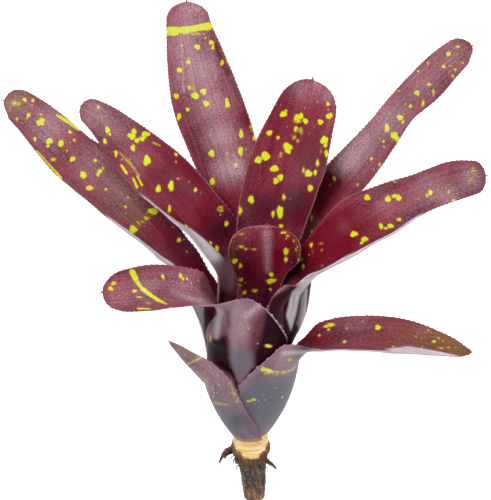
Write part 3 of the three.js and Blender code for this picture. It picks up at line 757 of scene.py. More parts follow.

# %% [markdown]
# ## Pigments and painted light
#
# Sun and age change a leaf's red. Sheltered parts near the heart are crimson or plum, open parts
# fade to mauve under a pale waxy bloom, and some tips turn olive. Some dabs are painted light:
# crimson and plum also lay painted shade in folds, gaps and the cup, bloom also lays painted sheen
# and highlights, and pale also lays painted highlights and reflections. Each pigment is laid on
# like
# soft brush dabs: steps to the right and down, how far the dab reaches, and how strong it is. Where
# a
# colour has a clear border it is a stroke: both ends, the width at both, how strong it is, and how
# many steps its edge takes. A patch is the same with corners: a list of them, how strong it is and
# how many steps its edge takes. The last two are not pigments. The glow is painted light, an
# emission that makes thin pale strips brighter than the lamps light them. Dust is where small
# flecks crowd.

# %% Pigment and painted light dabs
# corners of areas that more than one pigment fills, both on leaf_right_upper: its base in painted
# shade without painted sheen, and a wedge of painted light at its foot
SHADED_CRIMSON_BASE = ((322, 226), (314, 206), (316, 182), (327, 170), (342, 180), (341, 200), (336, 226))
PAINTED_LIGHT_WEDGE = ((292, 290), (310, 283), (300, 296), (298, 305), (296, 315), (291, 331), (286, 315))

PIGMENTS_AND_PAINTED_LIGHT = {
    # crimson: the leaf's own crimson near the heart, and painted shade in folds and on the shaded
    # sides of leaf_front_left
    "crimson_and_shade": {
        "leaf_back_tall": ((233, 205, 24, 0.9), (222, 60, 16, 0.3), (246, 122, 12, 0.7)),
        "leaf_back_broad": (
            (268, 132, 26, 0.45), (302, 122, 30, 0.5), (290, 160, 30, 0.35), (262, 190, 24, 0.5),
            (320, 150, 18, 0.4), (285, 215, 20, 0.6), (305, 200, 18, 0.6),
        ),
        "leaf_left_inner": ((185, 165, 26, 0.6), (200, 210, 34, 0.8), (158, 170, 12, 0.5)),
        "leaf_left_outer": ((200, 275, 40, 0.7), (170, 225, 24, 0.5), (75, 110, 20, 0.2)),
        "leaf_right_upper": (
            (345, 190, 18, 0.5), (300, 292, 295, 335, 16, 12, 0.8),
            # the base in painted shade
            (SHADED_CRIMSON_BASE, 1.0, 2.5),
        ),
        "leaf_right_middle": (
            (328, 250, 26, 1.5), (343, 222, 18, 1.1), (368, 220, 14, 0.3), (315, 262, 20, 0.9),
            # painted shade on the underside of the fold
            (((268, 299), (292, 286), (297, 283), (293, 293), (288, 311), (292, 330), (270, 318)),
             1.0, 2),
        ),
        "leaf_heart": ((243, 265, 24, 0.8), (288, 265, 26, 0.8), (285, 240, 20, 0.5)),
        "leaf_front_left": (
            # painted shade: a dark line in the fold, the shaded left side and the shaded right side
            # of the front
            (228, 313, 229, 326, 5, 3, 0.8, 3),
            (((221, 322), (230, 326), (229, 346), (220, 344)), 0.6, 6),
            (((251, 320), (266, 306), (272, 320), (268, 345), (256, 362), (249, 348)), 0.95, 12),
        ),
        "leaf_low_right": ((314, 341, 12, 0.7), (335, 338, 14, 0.2)),
    },
    # plum: the leaf's own plum near the heart, and painted shade in folds, gaps, the cup and under
    # leaf_front_left's lower edges
    "plum_and_shade": {
        "leaf_back_tall": (
            (170, 90, 18, 0.2), (200, 170, 20, 0.3), (215, 205, 16, 0.4),
            # the first two strokes are painted shade of the fold along the right margin
            (215, 44, 229, 77, 3.4, 4, 0.9), (229, 77, 239, 100, 4, 3.4, 0.7), (244, 120, 10, 0.4),
        ),
        "leaf_back_broad": (
            (262, 212, 20, 0.7), (300, 205, 24, 0.8), (318, 165, 18, 0.4), (245, 200, 10, 0.3),
            (306, 150, 16, 0.25),
        ),
        "leaf_left_inner": (
            (222, 228, 20, 1.1), (120, 150, 22, 0.15), (160, 182, 22, 0.35), (190, 190, 16, 0.35),
        ),
        "leaf_left_outer": (
            (188, 245, 26, 0.8), (212, 285, 26, 0.8), (110, 195, 24, 0.15),
            # painted shade in the gap beside the pale strip at the base
            (209.5, 312, 209.5, 350, 5, 5, 1.4),
        ),
        "leaf_right_upper": (
            # the stroke is a painted dark line in the gap beside the wedge, and the patch painted
            # shade below it
            (332, 186, 16, 0.5), (299.5, 298, 292, 331, 1.8, 1.8, 1.3),
            (((290, 329), (296, 324), (303, 338), (300, 350), (286, 346)), 1.3, 2),
        ),
        "leaf_right_middle": (
            (300, 272, 14, 0.9), (420, 206, 14, 0.15),
            # painted shade on the underside of the fold
            (((268, 299), (290, 289), (297, 285), (293, 293), (288, 311), (292, 330), (270, 318)),
             0.8, 3),
        ),
        "leaf_heart": (
            # the first dab is painted shade deep in the cup
            (262, 298, 26, 1.0), (230, 255, 8, 0.8), (300, 262, 8, 0.8), (243, 262, 12, 0.4),
            (290, 262, 10, 0.4),
        ),
        "leaf_front_left": (
            # painted shade on both sides of the bulging front
            (((206, 342), (214, 338), (226, 335), (229, 347), (229.5, 357), (234, 378),
              (206, 360)), 1.1, 8),
            (((267, 308), (284, 322), (293, 338), (287, 348), (254, 372), (256, 352), (262, 336)),
             1.3, 10),
            # painted shadow where the front meets the leaves below
            (231, 370, 238, 387, 2, 2.4, 1.2, 3), (253, 370, 240, 387, 3, 2.4, 1.2, 3),
            (172, 285, 16, 0.25), (140, 292, 20, 0.2),
        ),
        "leaf_low_right": (
            (308, 347, 9, 0.9), (300, 368, 8, 0.3), (345, 332, 14, 0.4), (400, 334, 24, 0.2),
        ),
        "leaf_low_left": ((214, 392, 16, 0.2), (188, 356, 10, 0.15), (237, 420, 8, 0.3)),
    },
    # bloom: the leaf's waxy bloom, and painted sheen and highlights where the leaf shines, as on
    # the broad bands of leaf_back_tall and leaf_right_upper
    "bloom_and_sheen": {
        "leaf_back_tall": (
            (202, 72, 18, 0.7), (212, 105, 18, 0.75), (222, 136, 14, 0.95), (228, 168, 14, 1.0),
            (190, 17, 22, 0.65), (180, 45, 16, 0.4), (192, 60, 24, 0.4), (180, 85, 12, 0.25),
            (181, 30, 184, 92, 1.8, 1.4, 1.1, 1.2), (187, 26, 189, 66, 1.6, 1.2, 1.0, 1.2),
            (215, 44, 229, 77, 4, 4.6, 0.1), (229, 77, 239, 100, 4.6, 4, 0.2),
        ),
        "leaf_back_broad": ((302, 88, 13, 0.45), (327, 94, 9, 0.5), (318, 84, 5, 0.4)),
        "leaf_left_inner": ((95, 112, 16, 0.7), (118, 128, 18, 0.35), (134, 160, 12, 0.2)),
        "leaf_left_outer": (
            (18, 103, 14, 0.6), (50, 125, 22, 0.75), (90, 165, 22, 0.4), (120, 195, 20, 0.3),
        ),
        "leaf_right_upper": (
            (346, 160, 14, 1.3), (362, 143, 18, 0.8), (392, 115, 20, 0.7), (420, 82, 20, 0.6),
            (450, 55, 20, 0.6), (380, 128, 10, 0.3),
            # no painted sheen on the base in painted shade
            (SHADED_CRIMSON_BASE, 0.0, 3),
        ),
        "leaf_right_middle": (
            (452, 200, 12, 0.45), (440, 190, 16, 0.35), (470, 178, 12, 0.7), (405, 212, 18, 0.12),
            (425, 190, 20, 0.3), (385, 203, 10, 0.35),
        ),
        "leaf_heart": (
            # a painted highlight down the middle and along the top rim
            (267, 234, 268, 269, 9, 5, 0.65, 9), (246, 227, 290, 226, 1.6, 1.6, 0.6, 2),
        ),
        "leaf_front_left": (
            (150, 286, 26, 0.25), (185, 284, 14, 0.4), (205, 300, 12, 0.4), (115, 295, 14, 0.3),
            (172, 291, 204, 303, 3, 4, 1.0, 9),
            # painted highlights on the bulging front
            (264, 303, 246, 316, 6, 5, 0.8, 6), (236, 311, 13, 0.8), (240, 330, 12, 0.7),
        ),
        "leaf_low_right": ((420, 334, 14, 0.1), (352, 335, 18, 0.1), (285, 358, 16, 0.4)),
        "leaf_low_left": ((204, 380, 16, 0.45), (182, 350, 12, 0.35), (228, 402, 14, 0.15)),
    },
    "olive": {
        "leaf_left_outer": ((15, 103, 12, 1.0), (135, 215, 14, 0.5), (112, 185, 20, 0.35)),
        "leaf_low_right": ((440, 340, 22, 0.8), (462, 350, 14, 0.7), (400, 335, 24, 0.35)),
        "leaf_low_left": ((174, 345, 14, 0.8), (200, 362, 12, 0.15), (233, 395, 8, 0.3)),
        "leaf_right_upper": ((462, 50, 12, 0.35),),
        "leaf_left_inner": ((90, 112, 9, 0.2),),
        "leaf_heart": ((232, 240, 234, 262, 4, 4, 0.5, 3), (297, 240, 299, 262, 4, 4, 0.4, 3)),
    },
    "slate": {
        "leaf_low_right": (
            (280, 395, 26, 1.1), (262, 415, 24, 0.8), (300, 375, 14, 0.5), (255, 395, 12, 0.6),
        ),
        "leaf_low_left": ((228, 425, 22, 1.2), (212, 408, 14, 0.5)),
        "leaf_front_left": (
            (((229, 348), (255, 348), (259, 357), (240, 380), (232, 366)), 0.85, 10),
        ),
        "leaf_left_outer": ((200, 330, 26, 0.9),),
        "leaf_right_upper": ((303, 315, 22, 0.7),),
    },
    # pale: the pale underside scales at turned margins, and painted highlights, painted reflections
    # and painted light
    "pale": {
        # a painted highlight on the fold at the left
        "leaf_front_left": ((218, 313, 216.5, 337, 9, 3, 0.6, 6),),
        "leaf_right_upper": (
            # the wedge, painted light where the cup's shade falls, and the pale strips beside it
            (PAINTED_LIGHT_WEDGE, 0.95, 1.5),
            (((300.5, 297), (308, 287), (305.5, 310), (304, 338), (296.5, 324), (299, 308)),
             0.6, 2),
            (306.5, 290, 303.5, 334, 2, 1.4, 0.9),
        ),
        "leaf_left_outer": (
            # a painted reflection along the flank
            (198, 308, 201, 335, 12, 9, 0.95), (201, 335, 204.5, 352, 9, 3, 0.9),
        ),
        "leaf_right_middle": (
            (((325, 268), (325, 277), (308, 287), (299, 298), (291, 330), (287, 311), (292, 292),
              (305, 280)), 0.9, 2),
        ),
        "leaf_low_right": (
            (283, 353, 318, 351.5, 3, 4, 0.6, 5), (303.5, 366, 297, 392, 3.4, 3, 0.7, 2.5),
            (297, 392, 286, 412, 2.6, 2, 0.4, 2.5),
        ),
        "leaf_left_inner": (
            (((160, 209), (178, 222), (191, 229), (205, 240), (220, 254), (228, 267), (229, 282),
              (225, 281), (218, 270), (211, 263), (190, 241)), 0.78, 1.5),
            (((212, 262), (226, 258), (236, 268), (234, 290), (218, 290)), 0.2, 9),
        ),
    },
    # painted glow: an emission that makes the wedge and the flank brighter than the lamps light
    # them
    "painted_glow": {
        "leaf_right_upper": (
            (PAINTED_LIGHT_WEDGE, 1.0, 2),
            (((302, 297), (308, 287), (305.5, 310), (304, 336), (300, 322), (301, 308)), 0.5, 3),
            (306, 290, 303.5, 334, 2, 1.4, 0.9),
        ),
        "leaf_left_outer": ((198, 310, 202, 344, 9, 5, 0.3),),
    },
    "dust": {
        "leaf_back_tall": ((193, 88, 12, 1.0), (190, 35, 14, 0.6), (228, 150, 12, 0.6)),
        "leaf_back_broad": ((297, 128, 11, 1.4), (290, 152, 9, 0.8), (318, 84, 7, 1.0)),
        "leaf_left_inner": ((126, 165, 12, 1.2), (95, 112, 12, 0.6), (200, 240, 14, 0.5)),
        "leaf_left_outer": ((30, 110, 22, 0.9), (70, 145, 24, 0.7), (145, 220, 12, 1.0)),
        "leaf_right_upper": ((445, 62, 18, 0.9), (400, 115, 24, 0.7), (370, 160, 20, 0.6)),
        "leaf_right_middle": ((472, 176, 9, 1.4), (425, 198, 16, 0.5), (318, 276, 14, 0.5)),
        "leaf_heart": (
            (238, 244, 12, 1.2), (293, 240, 12, 1.4), (240, 285, 12, 0.8), (296, 262, 8, 1.2),
        ),
        "leaf_front_left": ((190, 285, 14, 0.9), (150, 300, 20, 0.7), (238, 330, 22, 0.9)),
        "leaf_low_right": (
            (430, 342, 24, 1.0), (262, 402, 14, 1.0), (296, 388, 9, 0.7), (285, 378, 16, 0.4),
        ),
        "leaf_low_left": ((205, 375, 24, 1.3), (222, 398, 16, 1.2), (180, 352, 14, 1.0)),
    },
}
print("pigments:", list(PIGMENTS_AND_PAINTED_LIGHT))

# %% [markdown]
# ## Turned margins
#
# Some margins roll over, and then a strip of the pale underside shows along them. The roll itself
# is shallower than the leaf is thick, so a strip of the underside's grey scales on the upper face
# is enough. A strip is the side of the leaf, its start and end along the midrib in millimetres,
# its width at both, and how strong it is.

# %% Strips along turned margins
TURNED_MARGINS = {
    "leaf_left_inner": ((-1, 90, 106, 4.5, 0.9, 0.7), (-1, 98, 120, 1.5, 0.5, 0.6)),
    "leaf_left_outer": ((-1, 78, 98, 7.5, 2.2, 0.9), (-1, 90, 120, 3.2, 0.4, 0.8)),
    "leaf_right_middle": (
        (1, 68, 94, 7.5, 5.2, 0.9), (1, 86, 102, 6, 1.0, 0.9), (1, 94, 132, 1.2, 0.5, 0.8),
    ),
    "leaf_low_right": (
        (1, 60, 96, 0.5, 0.6, 0.8), (1, 90, 106, 2.4, 3.9, 0.7), (1, 98, 130, 4.2, 0.5, 0.7),
    ),
    "leaf_front_left": ((-1, 54, 72, 0.5, 0.4, 0.9),),
}
print("turned margins on:", list(TURNED_MARGINS))

# %% [markdown]
# ## From dabs to the skin
#
# Each corner of a leaf's skin keeps a few numbers, such as how far it is from the nearest mark's
# edge. The material reads them as attributes. Painting an image would tie the marks to pixels,
# while these numbers move with the skin and stay sharp from close by. Marks and dabs are laid on
# from above, so a mark stops a short way down a steep slope, and pale and plum fade away where the
# skin turns to face down.

# %% Attributes from marks and pigments
NO_MARK = 3.0  # millimetres from any mark
MARK_WRAP = 0.85  # a mark reaches this much of its size along a steep slope
NEIGHBOURS = 12
PATCH_NUMBERS = 3
DAB_NUMBERS = 4
STROKE_NUMBERS = 7
STROKE_SOFT = 2.0  # view steps
MOST_PIGMENT = 1.5
STRIP_ENDS = 4.0  # millimetres in which a turned margin starts and ends
STRIP_EDGE = 0.35  # millimetres
NEAR_MIDRIB = 1e-3  # of the half width, below which it can't be divided by
TURNED_DOWN = 0.3  # how far skin leans past upright until the pigments below are gone from it
FADED_BENEATH = ("pale", "painted_glow", "plum_and_shade")
LOBES = ((2, 0.1), (3, 0.09), (5, 0.05))  # how often an edge waves round a spot, and how much


def seen_from_above(points):
    """Where points in millimetres lie in the view, in steps to the right and down."""
    step = VIEW_STEP * (1 - (points[:, 2] - VIEW_HEIGHT) / VIEW_DISTANCE)
    right = VIEW_MIDDLE[0] + points[:, 0] / step
    down = VIEW_MIDDLE[1] - points[:, 1] / step
    return np.stack([right, down], axis=1)


def spot_edge(view, spot, draw):
    """Signed distance in millimetres from a lobed spot's edge, negative inside."""
    x, y, wide, tall = spot[:4]
    across, down = (view[:, 0] - x) / (wide / 2), (view[:, 1] - y) / (tall / 2)
    turn = np.arctan2(down, across)
    edge = 1.0
    for waves, depth in LOBES:
        edge = edge + depth * np.cos(waves * turn + draw.uniform(0, 2 * math.pi))
    return (np.hypot(across, down) - edge) * min(wide, tall) / 2 * VIEW_STEP


def streak_edge(view, streak):
    """Signed distance in millimetres from the edge of a tapered streak, negative inside."""
    start, end = np.array(streak[:2]), np.array(streak[2:4])
    run = end - start
    share = np.clip((view - start) @ run / (run @ run), 0, 1)
    middle = start + share[:, None] * run
    half = lerp(streak[4], streak[5], share) / 2
    return (np.hypot(*(view - middle).T) - half) * VIEW_STEP


def mark_field(points, view, name, seed):
    """For each corner: how far the nearest mark's edge is, its strength and half its width."""
    draw = random.Random(seed)
    nearest = np.full(len(points), NO_MARK)
    strength, size = np.ones(len(points)), np.ones(len(points))
    marks = []
    for spot in SPOTS.get(name, ()):
        edge = spot_edge(view, spot, draw)
        strong = spot[4] if len(spot) > 4 else 1.0
        marks.append((edge, spot[:2], max(spot[2:4]), min(spot[2:4]), strong))
    for streak in STREAKS.get(name, ()):
        middle = ((streak[0] + streak[2]) / 2, (streak[1] + streak[3]) / 2)
        long = math.hypot(streak[0] - streak[2], streak[1] - streak[3]) + max(streak[4:6])
        strong = streak[6] if len(streak) > 6 else 1.0
        marks.append((streak_edge(view, streak), middle, long, min(streak[4:6]), strong))
    for edge, centre, long, short, strong in marks:
        close = np.argsort(np.hypot(*(view - centre).T))[:NEIGHBOURS]
        anchor = points[close[np.argmax(points[close, 2])]]
        reach = np.linalg.norm(points - anchor, axis=1) - long * VIEW_STEP * MARK_WRAP
        edge = np.maximum(edge, reach)
        nearer = edge < nearest
        nearest[nearer] = edge[nearer]
        strength[nearer] = strong
        size[nearer] = short / 2 * VIEW_STEP
    return nearest, strength, size


def patch_edge(view, corners):
    """Signed distance in millimetres from the edge of a patch, negative inside."""
    nearest = np.full(len(view), np.inf)
    inside = np.zeros(len(view), dtype=bool)
    for start, end in zip(corners, corners[1:] + corners[:1]):
        start, run = np.array(start), np.subtract(end, start)
        share = np.clip((view - start) @ run / (run @ run), 0, 1)
        nearest = np.minimum(nearest, np.hypot(*(view - start - share[:, None] * run).T))
        passes = (view[:, 1] < start[1]) != (view[:, 1] < end[1])
        side = start[0] + (view[:, 1] - start[1]) / (run[1] or 1.0) * run[0]
        inside ^= passes & (view[:, 0] < side)
    return np.where(inside, -nearest, nearest) * VIEW_STEP


def dab_field(view, dabs):
    """Dabs add up; a stroke or a patch sets its own amount inside its soft edge."""
    total = np.zeros(len(view))
    for dab in dabs:
        if len(dab) == DAB_NUMBERS:
            x, y, reach, amount = dab
            distance = np.hypot(view[:, 0] - x, view[:, 1] - y) / reach
            total += amount * np.exp(-(distance**2))
            continue
        if len(dab) == PATCH_NUMBERS:
            corners, amount, soft = dab
            edge = patch_edge(view, corners)
        else:
            amount, soft = dab[6], dab[7] if len(dab) > STROKE_NUMBERS else STROKE_SOFT
            edge = streak_edge(view, dab)
        cover = np.clip(0.5 - edge / (soft * VIEW_STEP), 0, 1)
        total += (amount - total) * cover * cover * (3 - 2 * cover)
    return np.clip(total, 0, MOST_PIGMENT)


def margin_field(place, number, strips):
    """How much of a turned margin covers each corner of the skin."""
    total = np.zeros(len(place))
    across = place[:, 2]
    width_place = place[:, 0] - number * LEAF_STEP
    half_width = np.abs(width_place) / np.maximum(np.abs(across), NEAR_MIDRIB)
    inward = half_width * (1 - np.abs(across))
    for side, start, end, start_width, end_width, strength in strips:
        share = np.clip((place[:, 1] - start) / (end - start), 0, 1)
        width = lerp(start_width, end_width, share)
        begun = np.clip((place[:, 1] - start) / STRIP_ENDS, 0, 1)
        left = np.clip((end - place[:, 1]) / STRIP_ENDS, 0, 1)
        cover = np.clip((width - inward) / STRIP_EDGE + 0.5, 0, 1)
        cover = cover * (begun * left) * (across * side > 0)
        total = np.maximum(total, cover * strength)
    return total


def add_attribute(mesh, name, values):
    attribute = mesh.attributes.new(name, "FLOAT", "POINT")
    attribute.data.foreach_set("value", np.asarray(values, dtype=np.float32))


def vectors_of(data, key, count):
    """Reads one vector for each corner of a mesh."""
    values = np.empty(count * 3)
    data.foreach_get(key, values)
    return values.reshape(-1, 3)


def paint_leaf(mesh, name, number):
    """Gives the mesh, still in the plant's own millimetres, its mark, pigment and painted light
    numbers.
    """
    count = len(mesh.vertices)
    points = vectors_of(mesh.vertices, "co", count)
    place = vectors_of(mesh.attributes["place"].data, "vector", count)
    leaning = vectors_of(mesh.vertex_normals, "vector", count)[:, 2]
    in_the_open = np.clip(1 + leaning / TURNED_DOWN, 0, 1)
    view = seen_from_above(points)
    nearest, strength, size = mark_field(points, view, name, number)
    add_attribute(mesh, "mark", nearest)
    add_attribute(mesh, "mark_strength", strength)
    add_attribute(mesh, "mark_size", size)
    for pigment, leaves in PIGMENTS_AND_PAINTED_LIGHT.items():
        amount = dab_field(view, leaves.get(name, ()))
        if pigment in FADED_BENEATH:
            amount = amount * in_the_open
        if pigment == "pale":
            strips = TURNED_MARGINS.get(name, ())
            amount = np.maximum(amount, margin_field(place, number, strips))
        add_attribute(mesh, pigment, amount)
    height = (points - np.array(STEM_FOOT)) @ np.array(AXIS)
    add_attribute(mesh, "height", height)


print("the cut end in view steps:", seen_from_above(np.array([STEM_FOOT])).round(1))

# %% [markdown]
# ## Shared patterns
#
# Two things recur on every part of the plant: fine lines that run lengthwise, and a mottled grain.
# Each is a small node group, made once and reused with other values. The groups give out values
# only, and the shader that uses them stays in its own material.

# %% Helpers for node trees
def srgb(red, green, blue):
    """A colour given from 0 to 255 as on a screen, as the linear one that Blender mixes."""
    parts = []
    for value in (red / 255, green / 255, blue / 255):
        parts.append(value / 12.92 if value <= 0.04045 else ((value + 0.055) / 1.055) ** 2.4)
    return (*parts, 1.0)


class Wires:
    """Adds nodes to a tree and joins them, so that a material reads from top to bottom."""

    def __init__(self, tree):
        self.tree = tree

    def node(self, kind, inputs=None, **settings):
        made = self.tree.nodes.new(kind)
        for key, value in settings.items():
            setattr(made, key, value)
        for key, value in (inputs or {}).items():
            self.feed(made.inputs[key], value)
        return made

    def feed(self, socket, value):
        if isinstance(value, bpy.types.NodeSocket):
            self.tree.links.new(value, socket)
        else:
            socket.default_value = value

    def math(self, operation, a, b=0.0, clamped=False):
        made = self.node("ShaderNodeMath", {0: a, 1: b}, operation=operation, use_clamp=clamped)
        return made.outputs[0]

    def times(self, a, b):
        return self.math("MULTIPLY", a, b)

    def plus(self, a, b):
        return self.math("ADD", a, b)

    def spread(self, value, low, high, to_low=0.0, to_high=1.0):
        """Carries low to high over to to_low to to_high, with soft ends."""
        ends = {"From Min": low, "From Max": high, "To Min": to_low, "To Max": to_high}
        made = self.node(
            "ShaderNodeMapRange", {"Value": value, **ends}, interpolation_type="SMOOTHSTEP"
        )
        return made.outputs["Result"]

    def mix(self, factor, a, b):
        made = self.node("ShaderNodeMix", data_type="RGBA", clamp_factor=True)
        self.feed(made.inputs[0], factor)
        self.feed(made.inputs[6], a)
        self.feed(made.inputs[7], b)
        return made.outputs[2]

    def attribute(self, name, output="Fac"):
        return self.node("ShaderNodeAttribute", attribute_name=name).outputs[output]

    def noise(self, vector, scale, detail=2.0, rough=0.5):
        inputs = {"Vector": vector, "Scale": scale, "Detail": detail, "Roughness": rough}
        return self.node("ShaderNodeTexNoise", inputs).outputs["Fac"]

    def stretch(self, vector, scale, shift=(0.0, 0.0, 0.0)):
        inputs = {"Vector": vector, "Scale": scale, "Location": shift}
        return self.node("ShaderNodeMapping", inputs).outputs["Vector"]


def pattern_group(name, inputs, outputs):
    """An empty node group: a Place vector and named numbers go in, named numbers come out."""
    tree = bpy.data.node_groups.new(name, "ShaderNodeTree")
    tree.interface.new_socket("Place", in_out="INPUT", socket_type="NodeSocketVector")
    for socket, value in inputs.items():
        made = tree.interface.new_socket(socket, in_out="INPUT", socket_type="NodeSocketFloat")
        made.default_value = value
    for socket in outputs:
        tree.interface.new_socket(socket, in_out="OUTPUT", socket_type="NodeSocketFloat")
    wires = Wires(tree)
    return tree, wires, wires.node("NodeGroupInput").outputs, wires.node("NodeGroupOutput")


def use_group(wires, group, place, values):
    made = wires.node("ShaderNodeGroup", node_tree=group)
    wires.feed(made.inputs["Place"], place)
    for socket, value in values.items():
        wires.feed(made.inputs[socket], value)
    return made.outputs


print("mid grey in linear light:", round(srgb(128, 128, 128)[0], 3))

# %% Lengthwise lines
line_group, w, given, out = pattern_group(
    "lengthwise_lines", {"Lines per mm": 1.2, "Length": 0.03}, ["Lines"]
)
split = w.node("ShaderNodeSeparateXYZ", {"Vector": given["Place"]}).outputs
line_x = w.times(split["X"], given["Lines per mm"])
line_y = w.times(split["Y"], given["Length"])
line_place = w.node("ShaderNodeCombineXYZ", {"X": line_x, "Y": line_y, "Z": split["Z"]}).outputs[0]
broad, narrow = w.noise(line_place, 0.45, 3.0, 0.6), w.noise(line_place, 1.7)
w.feed(out.inputs["Lines"], w.plus(w.times(broad, 0.6), w.times(narrow, 0.4)))
print("nodes in the lines group:", len(line_group.nodes))

# %% Mottled grain and specks
grain_group, w, given, out = pattern_group(
    "mottled_grain", {"Grains per mm": 1.0}, ["Grain", "Specks"]
)
scaled = w.node("ShaderNodeVectorMath", {0: given["Place"]}, operation="SCALE")
w.feed(scaled.inputs["Scale"], given["Grains per mm"])
w.feed(out.inputs["Grain"], w.noise(scaled.outputs[0], 1.0, 3.0, 0.6))
cells = w.node("ShaderNodeTexVoronoi", {"Vector": scaled.outputs[0], "Scale": 0.8})
w.feed(out.inputs["Specks"], w.spread(cells.outputs["Distance"], 0.08, 0.42, 1.0, 0.0))
print("nodes in the grain group:", len(grain_group.nodes))

# %% Scattered flecks
fleck_group, w, given, out = pattern_group(
    "scattered_flecks", {"Flecks per mm": 0.3, "Share": 0.3, "Size": 0.14}, ["Flecks", "Chance"]
)
scaled = w.node("ShaderNodeVectorMath", {0: given["Place"]}, operation="SCALE")
w.feed(scaled.inputs["Scale"], given["Flecks per mm"])
bent = w.noise(scaled.outputs[0], 5.0)
cells = w.node("ShaderNodeTexVoronoi", {"Vector": scaled.outputs[0], "Scale": 1.0})
chance = w.node("ShaderNodeSeparateColor", {"Color": cells.outputs["Color"]}).outputs
left_out = w.math("SUBTRACT", 1.0, given["Share"])
grown = w.spread(chance["Red"], left_out, w.plus(left_out, 0.35), 0.0, 1.0)
radius = w.times(grown, given["Size"])
ragged = w.plus(cells.outputs["Distance"], w.times(w.math("SUBTRACT", bent, 0.5), 0.16))
inside = w.math("SUBTRACT", radius, ragged)
w.feed(out.inputs["Flecks"], w.spread(inside, -0.01, 0.02))
w.feed(out.inputs["Chance"], chance["Green"])
print("groups:", [g.name for g in bpy.data.node_groups])

# %% [markdown]
# ## The leaf's skin
#
# From below upwards: a wine red, deepened to crimson or plum by the pigments and by painted shade,
# then the pale bloom with its painted sheen, then the flecks, then the lime marks with their frayed
# edges. The pebbled grain also gets painted glints, and painted shade in its pits. The underside is
# covered in grey scales, so it is lilac and dull. Bump gives the pebbled shine: the surface is
# slightly quilted, and a thin coat shines most where the bloom is. A plain glossy red would look
# like plastic. A painted glow, an emission, brightens a few thin pale strips.

# %% Leaf colours
WINE, DARK_WINE = srgb(128, 46, 62), srgb(92, 24, 40)
# CRIMSON_AND_SHADE and PLUM_AND_SHADE are the leaf's own deep reds, also laid on as painted shade
CRIMSON_AND_SHADE, PLUM_AND_SHADE = srgb(104, 0, 24), srgb(54, 0, 26)
# BLOOM_AND_SHEEN is the lilac of the waxy bloom, also laid on as painted sheen
BLOOM_AND_SHEEN, OLIVE, LINES = srgb(188, 156, 165), srgb(122, 96, 44), srgb(154, 102, 113)
SCALES, DARK_SCALES = srgb(160, 134, 146), srgb(112, 74, 90)
# PALE_SCALES_AND_LIGHT is the pale underside, also laid on as painted light and the painted glow's
# colour
SLATE, DARK_UNDER, PALE_SCALES_AND_LIGHT = srgb(100, 102, 112), srgb(34, 0, 16), srgb(214, 208, 216)
# SHADE darkens the pits of the pebbled grain and FROST_AND_GLINT lights its specks: painted shade
# and painted glints, with the pale scurf
SHADE, FROST_AND_GLINT = srgb(48, 6, 22), srgb(184, 148, 156)
LIME, DEEP_LIME = srgb(208, 216, 34), srgb(170, 184, 6)
PALE_LIME, RUST, MARGIN = srgb(216, 216, 130), srgb(176, 92, 44), srgb(160, 104, 112)
SPINE, FOOT_CREAM = srgb(46, 20, 26), srgb(190, 142, 96)
NO_LIGHT = srgb(0, 0, 0)
# how strongly the painted glow shines
PAINTED_GLOW_STRENGTH = 0.55
FOOT_EDGE = (36.5, 39.5)  # millimetres up the stem
print("wine red in linear light:", [round(part, 3) for part in WINE[:3]])


# %% Upper and lower skin
def upper_skin(w, lines, grain, patches, pebbles):
    """The colour of the upper face, and how far the bloom and its painted sheen veil it."""
    color = w.mix(patches, WINE, DARK_WINE)
    # crimson and plum: the leaf's own deep reds, and painted shade
    crimson_and_shade = w.times(w.attribute("crimson_and_shade"), w.spread(patches, 0.25, 0.6, 0.7, 1.2))
    color = w.mix(crimson_and_shade, color, CRIMSON_AND_SHADE)
    plum_and_shade = w.times(w.attribute("plum_and_shade"), w.spread(patches, 0.3, 0.7, 1.1, 0.75))
    color = w.mix(plum_and_shade, color, PLUM_AND_SHADE)
    bloom_sheen_veil = w.times(w.attribute("bloom_and_sheen"), w.spread(lines, 0.35, 0.65, 0.6, 1.05))
    bloom_sheen_veil = w.times(bloom_sheen_veil, w.spread(pebbles, 0.38, 0.62, 0.62, 1.2))
    color = w.mix(w.times(bloom_sheen_veil, 0.85), color, BLOOM_AND_SHEEN)
    olive = w.times(w.attribute("olive"), w.spread(grain["Grain"], 0.35, 0.6, 0.4, 0.8))
    color = w.mix(olive, color, OLIVE)
    deep = w.plus(w.attribute("crimson_and_shade"), w.attribute("plum_and_shade"))
    open_skin = w.plus(w.math("SUBTRACT", 0.9, deep, clamped=True), 0.1)
    color = w.mix(w.times(w.times(w.spread(lines, 0.46, 0.68), open_skin), 0.3), color, LINES)
    # pale scurf and painted glints on the raised pebbles
    frost_and_glint = w.times(w.times(w.spread(pebbles, 0.54, 0.64), open_skin), 0.16)
    color = w.mix(frost_and_glint, color, FROST_AND_GLINT)
    glint = w.times(w.spread(grain["Specks"], 0.6, 0.95), 0.14)
    color = w.mix(glint, color, FROST_AND_GLINT)
    return w.mix(w.spread(pebbles, 0.34, 0.48, 0.22, 0.0), color, SHADE), bloom_sheen_veil


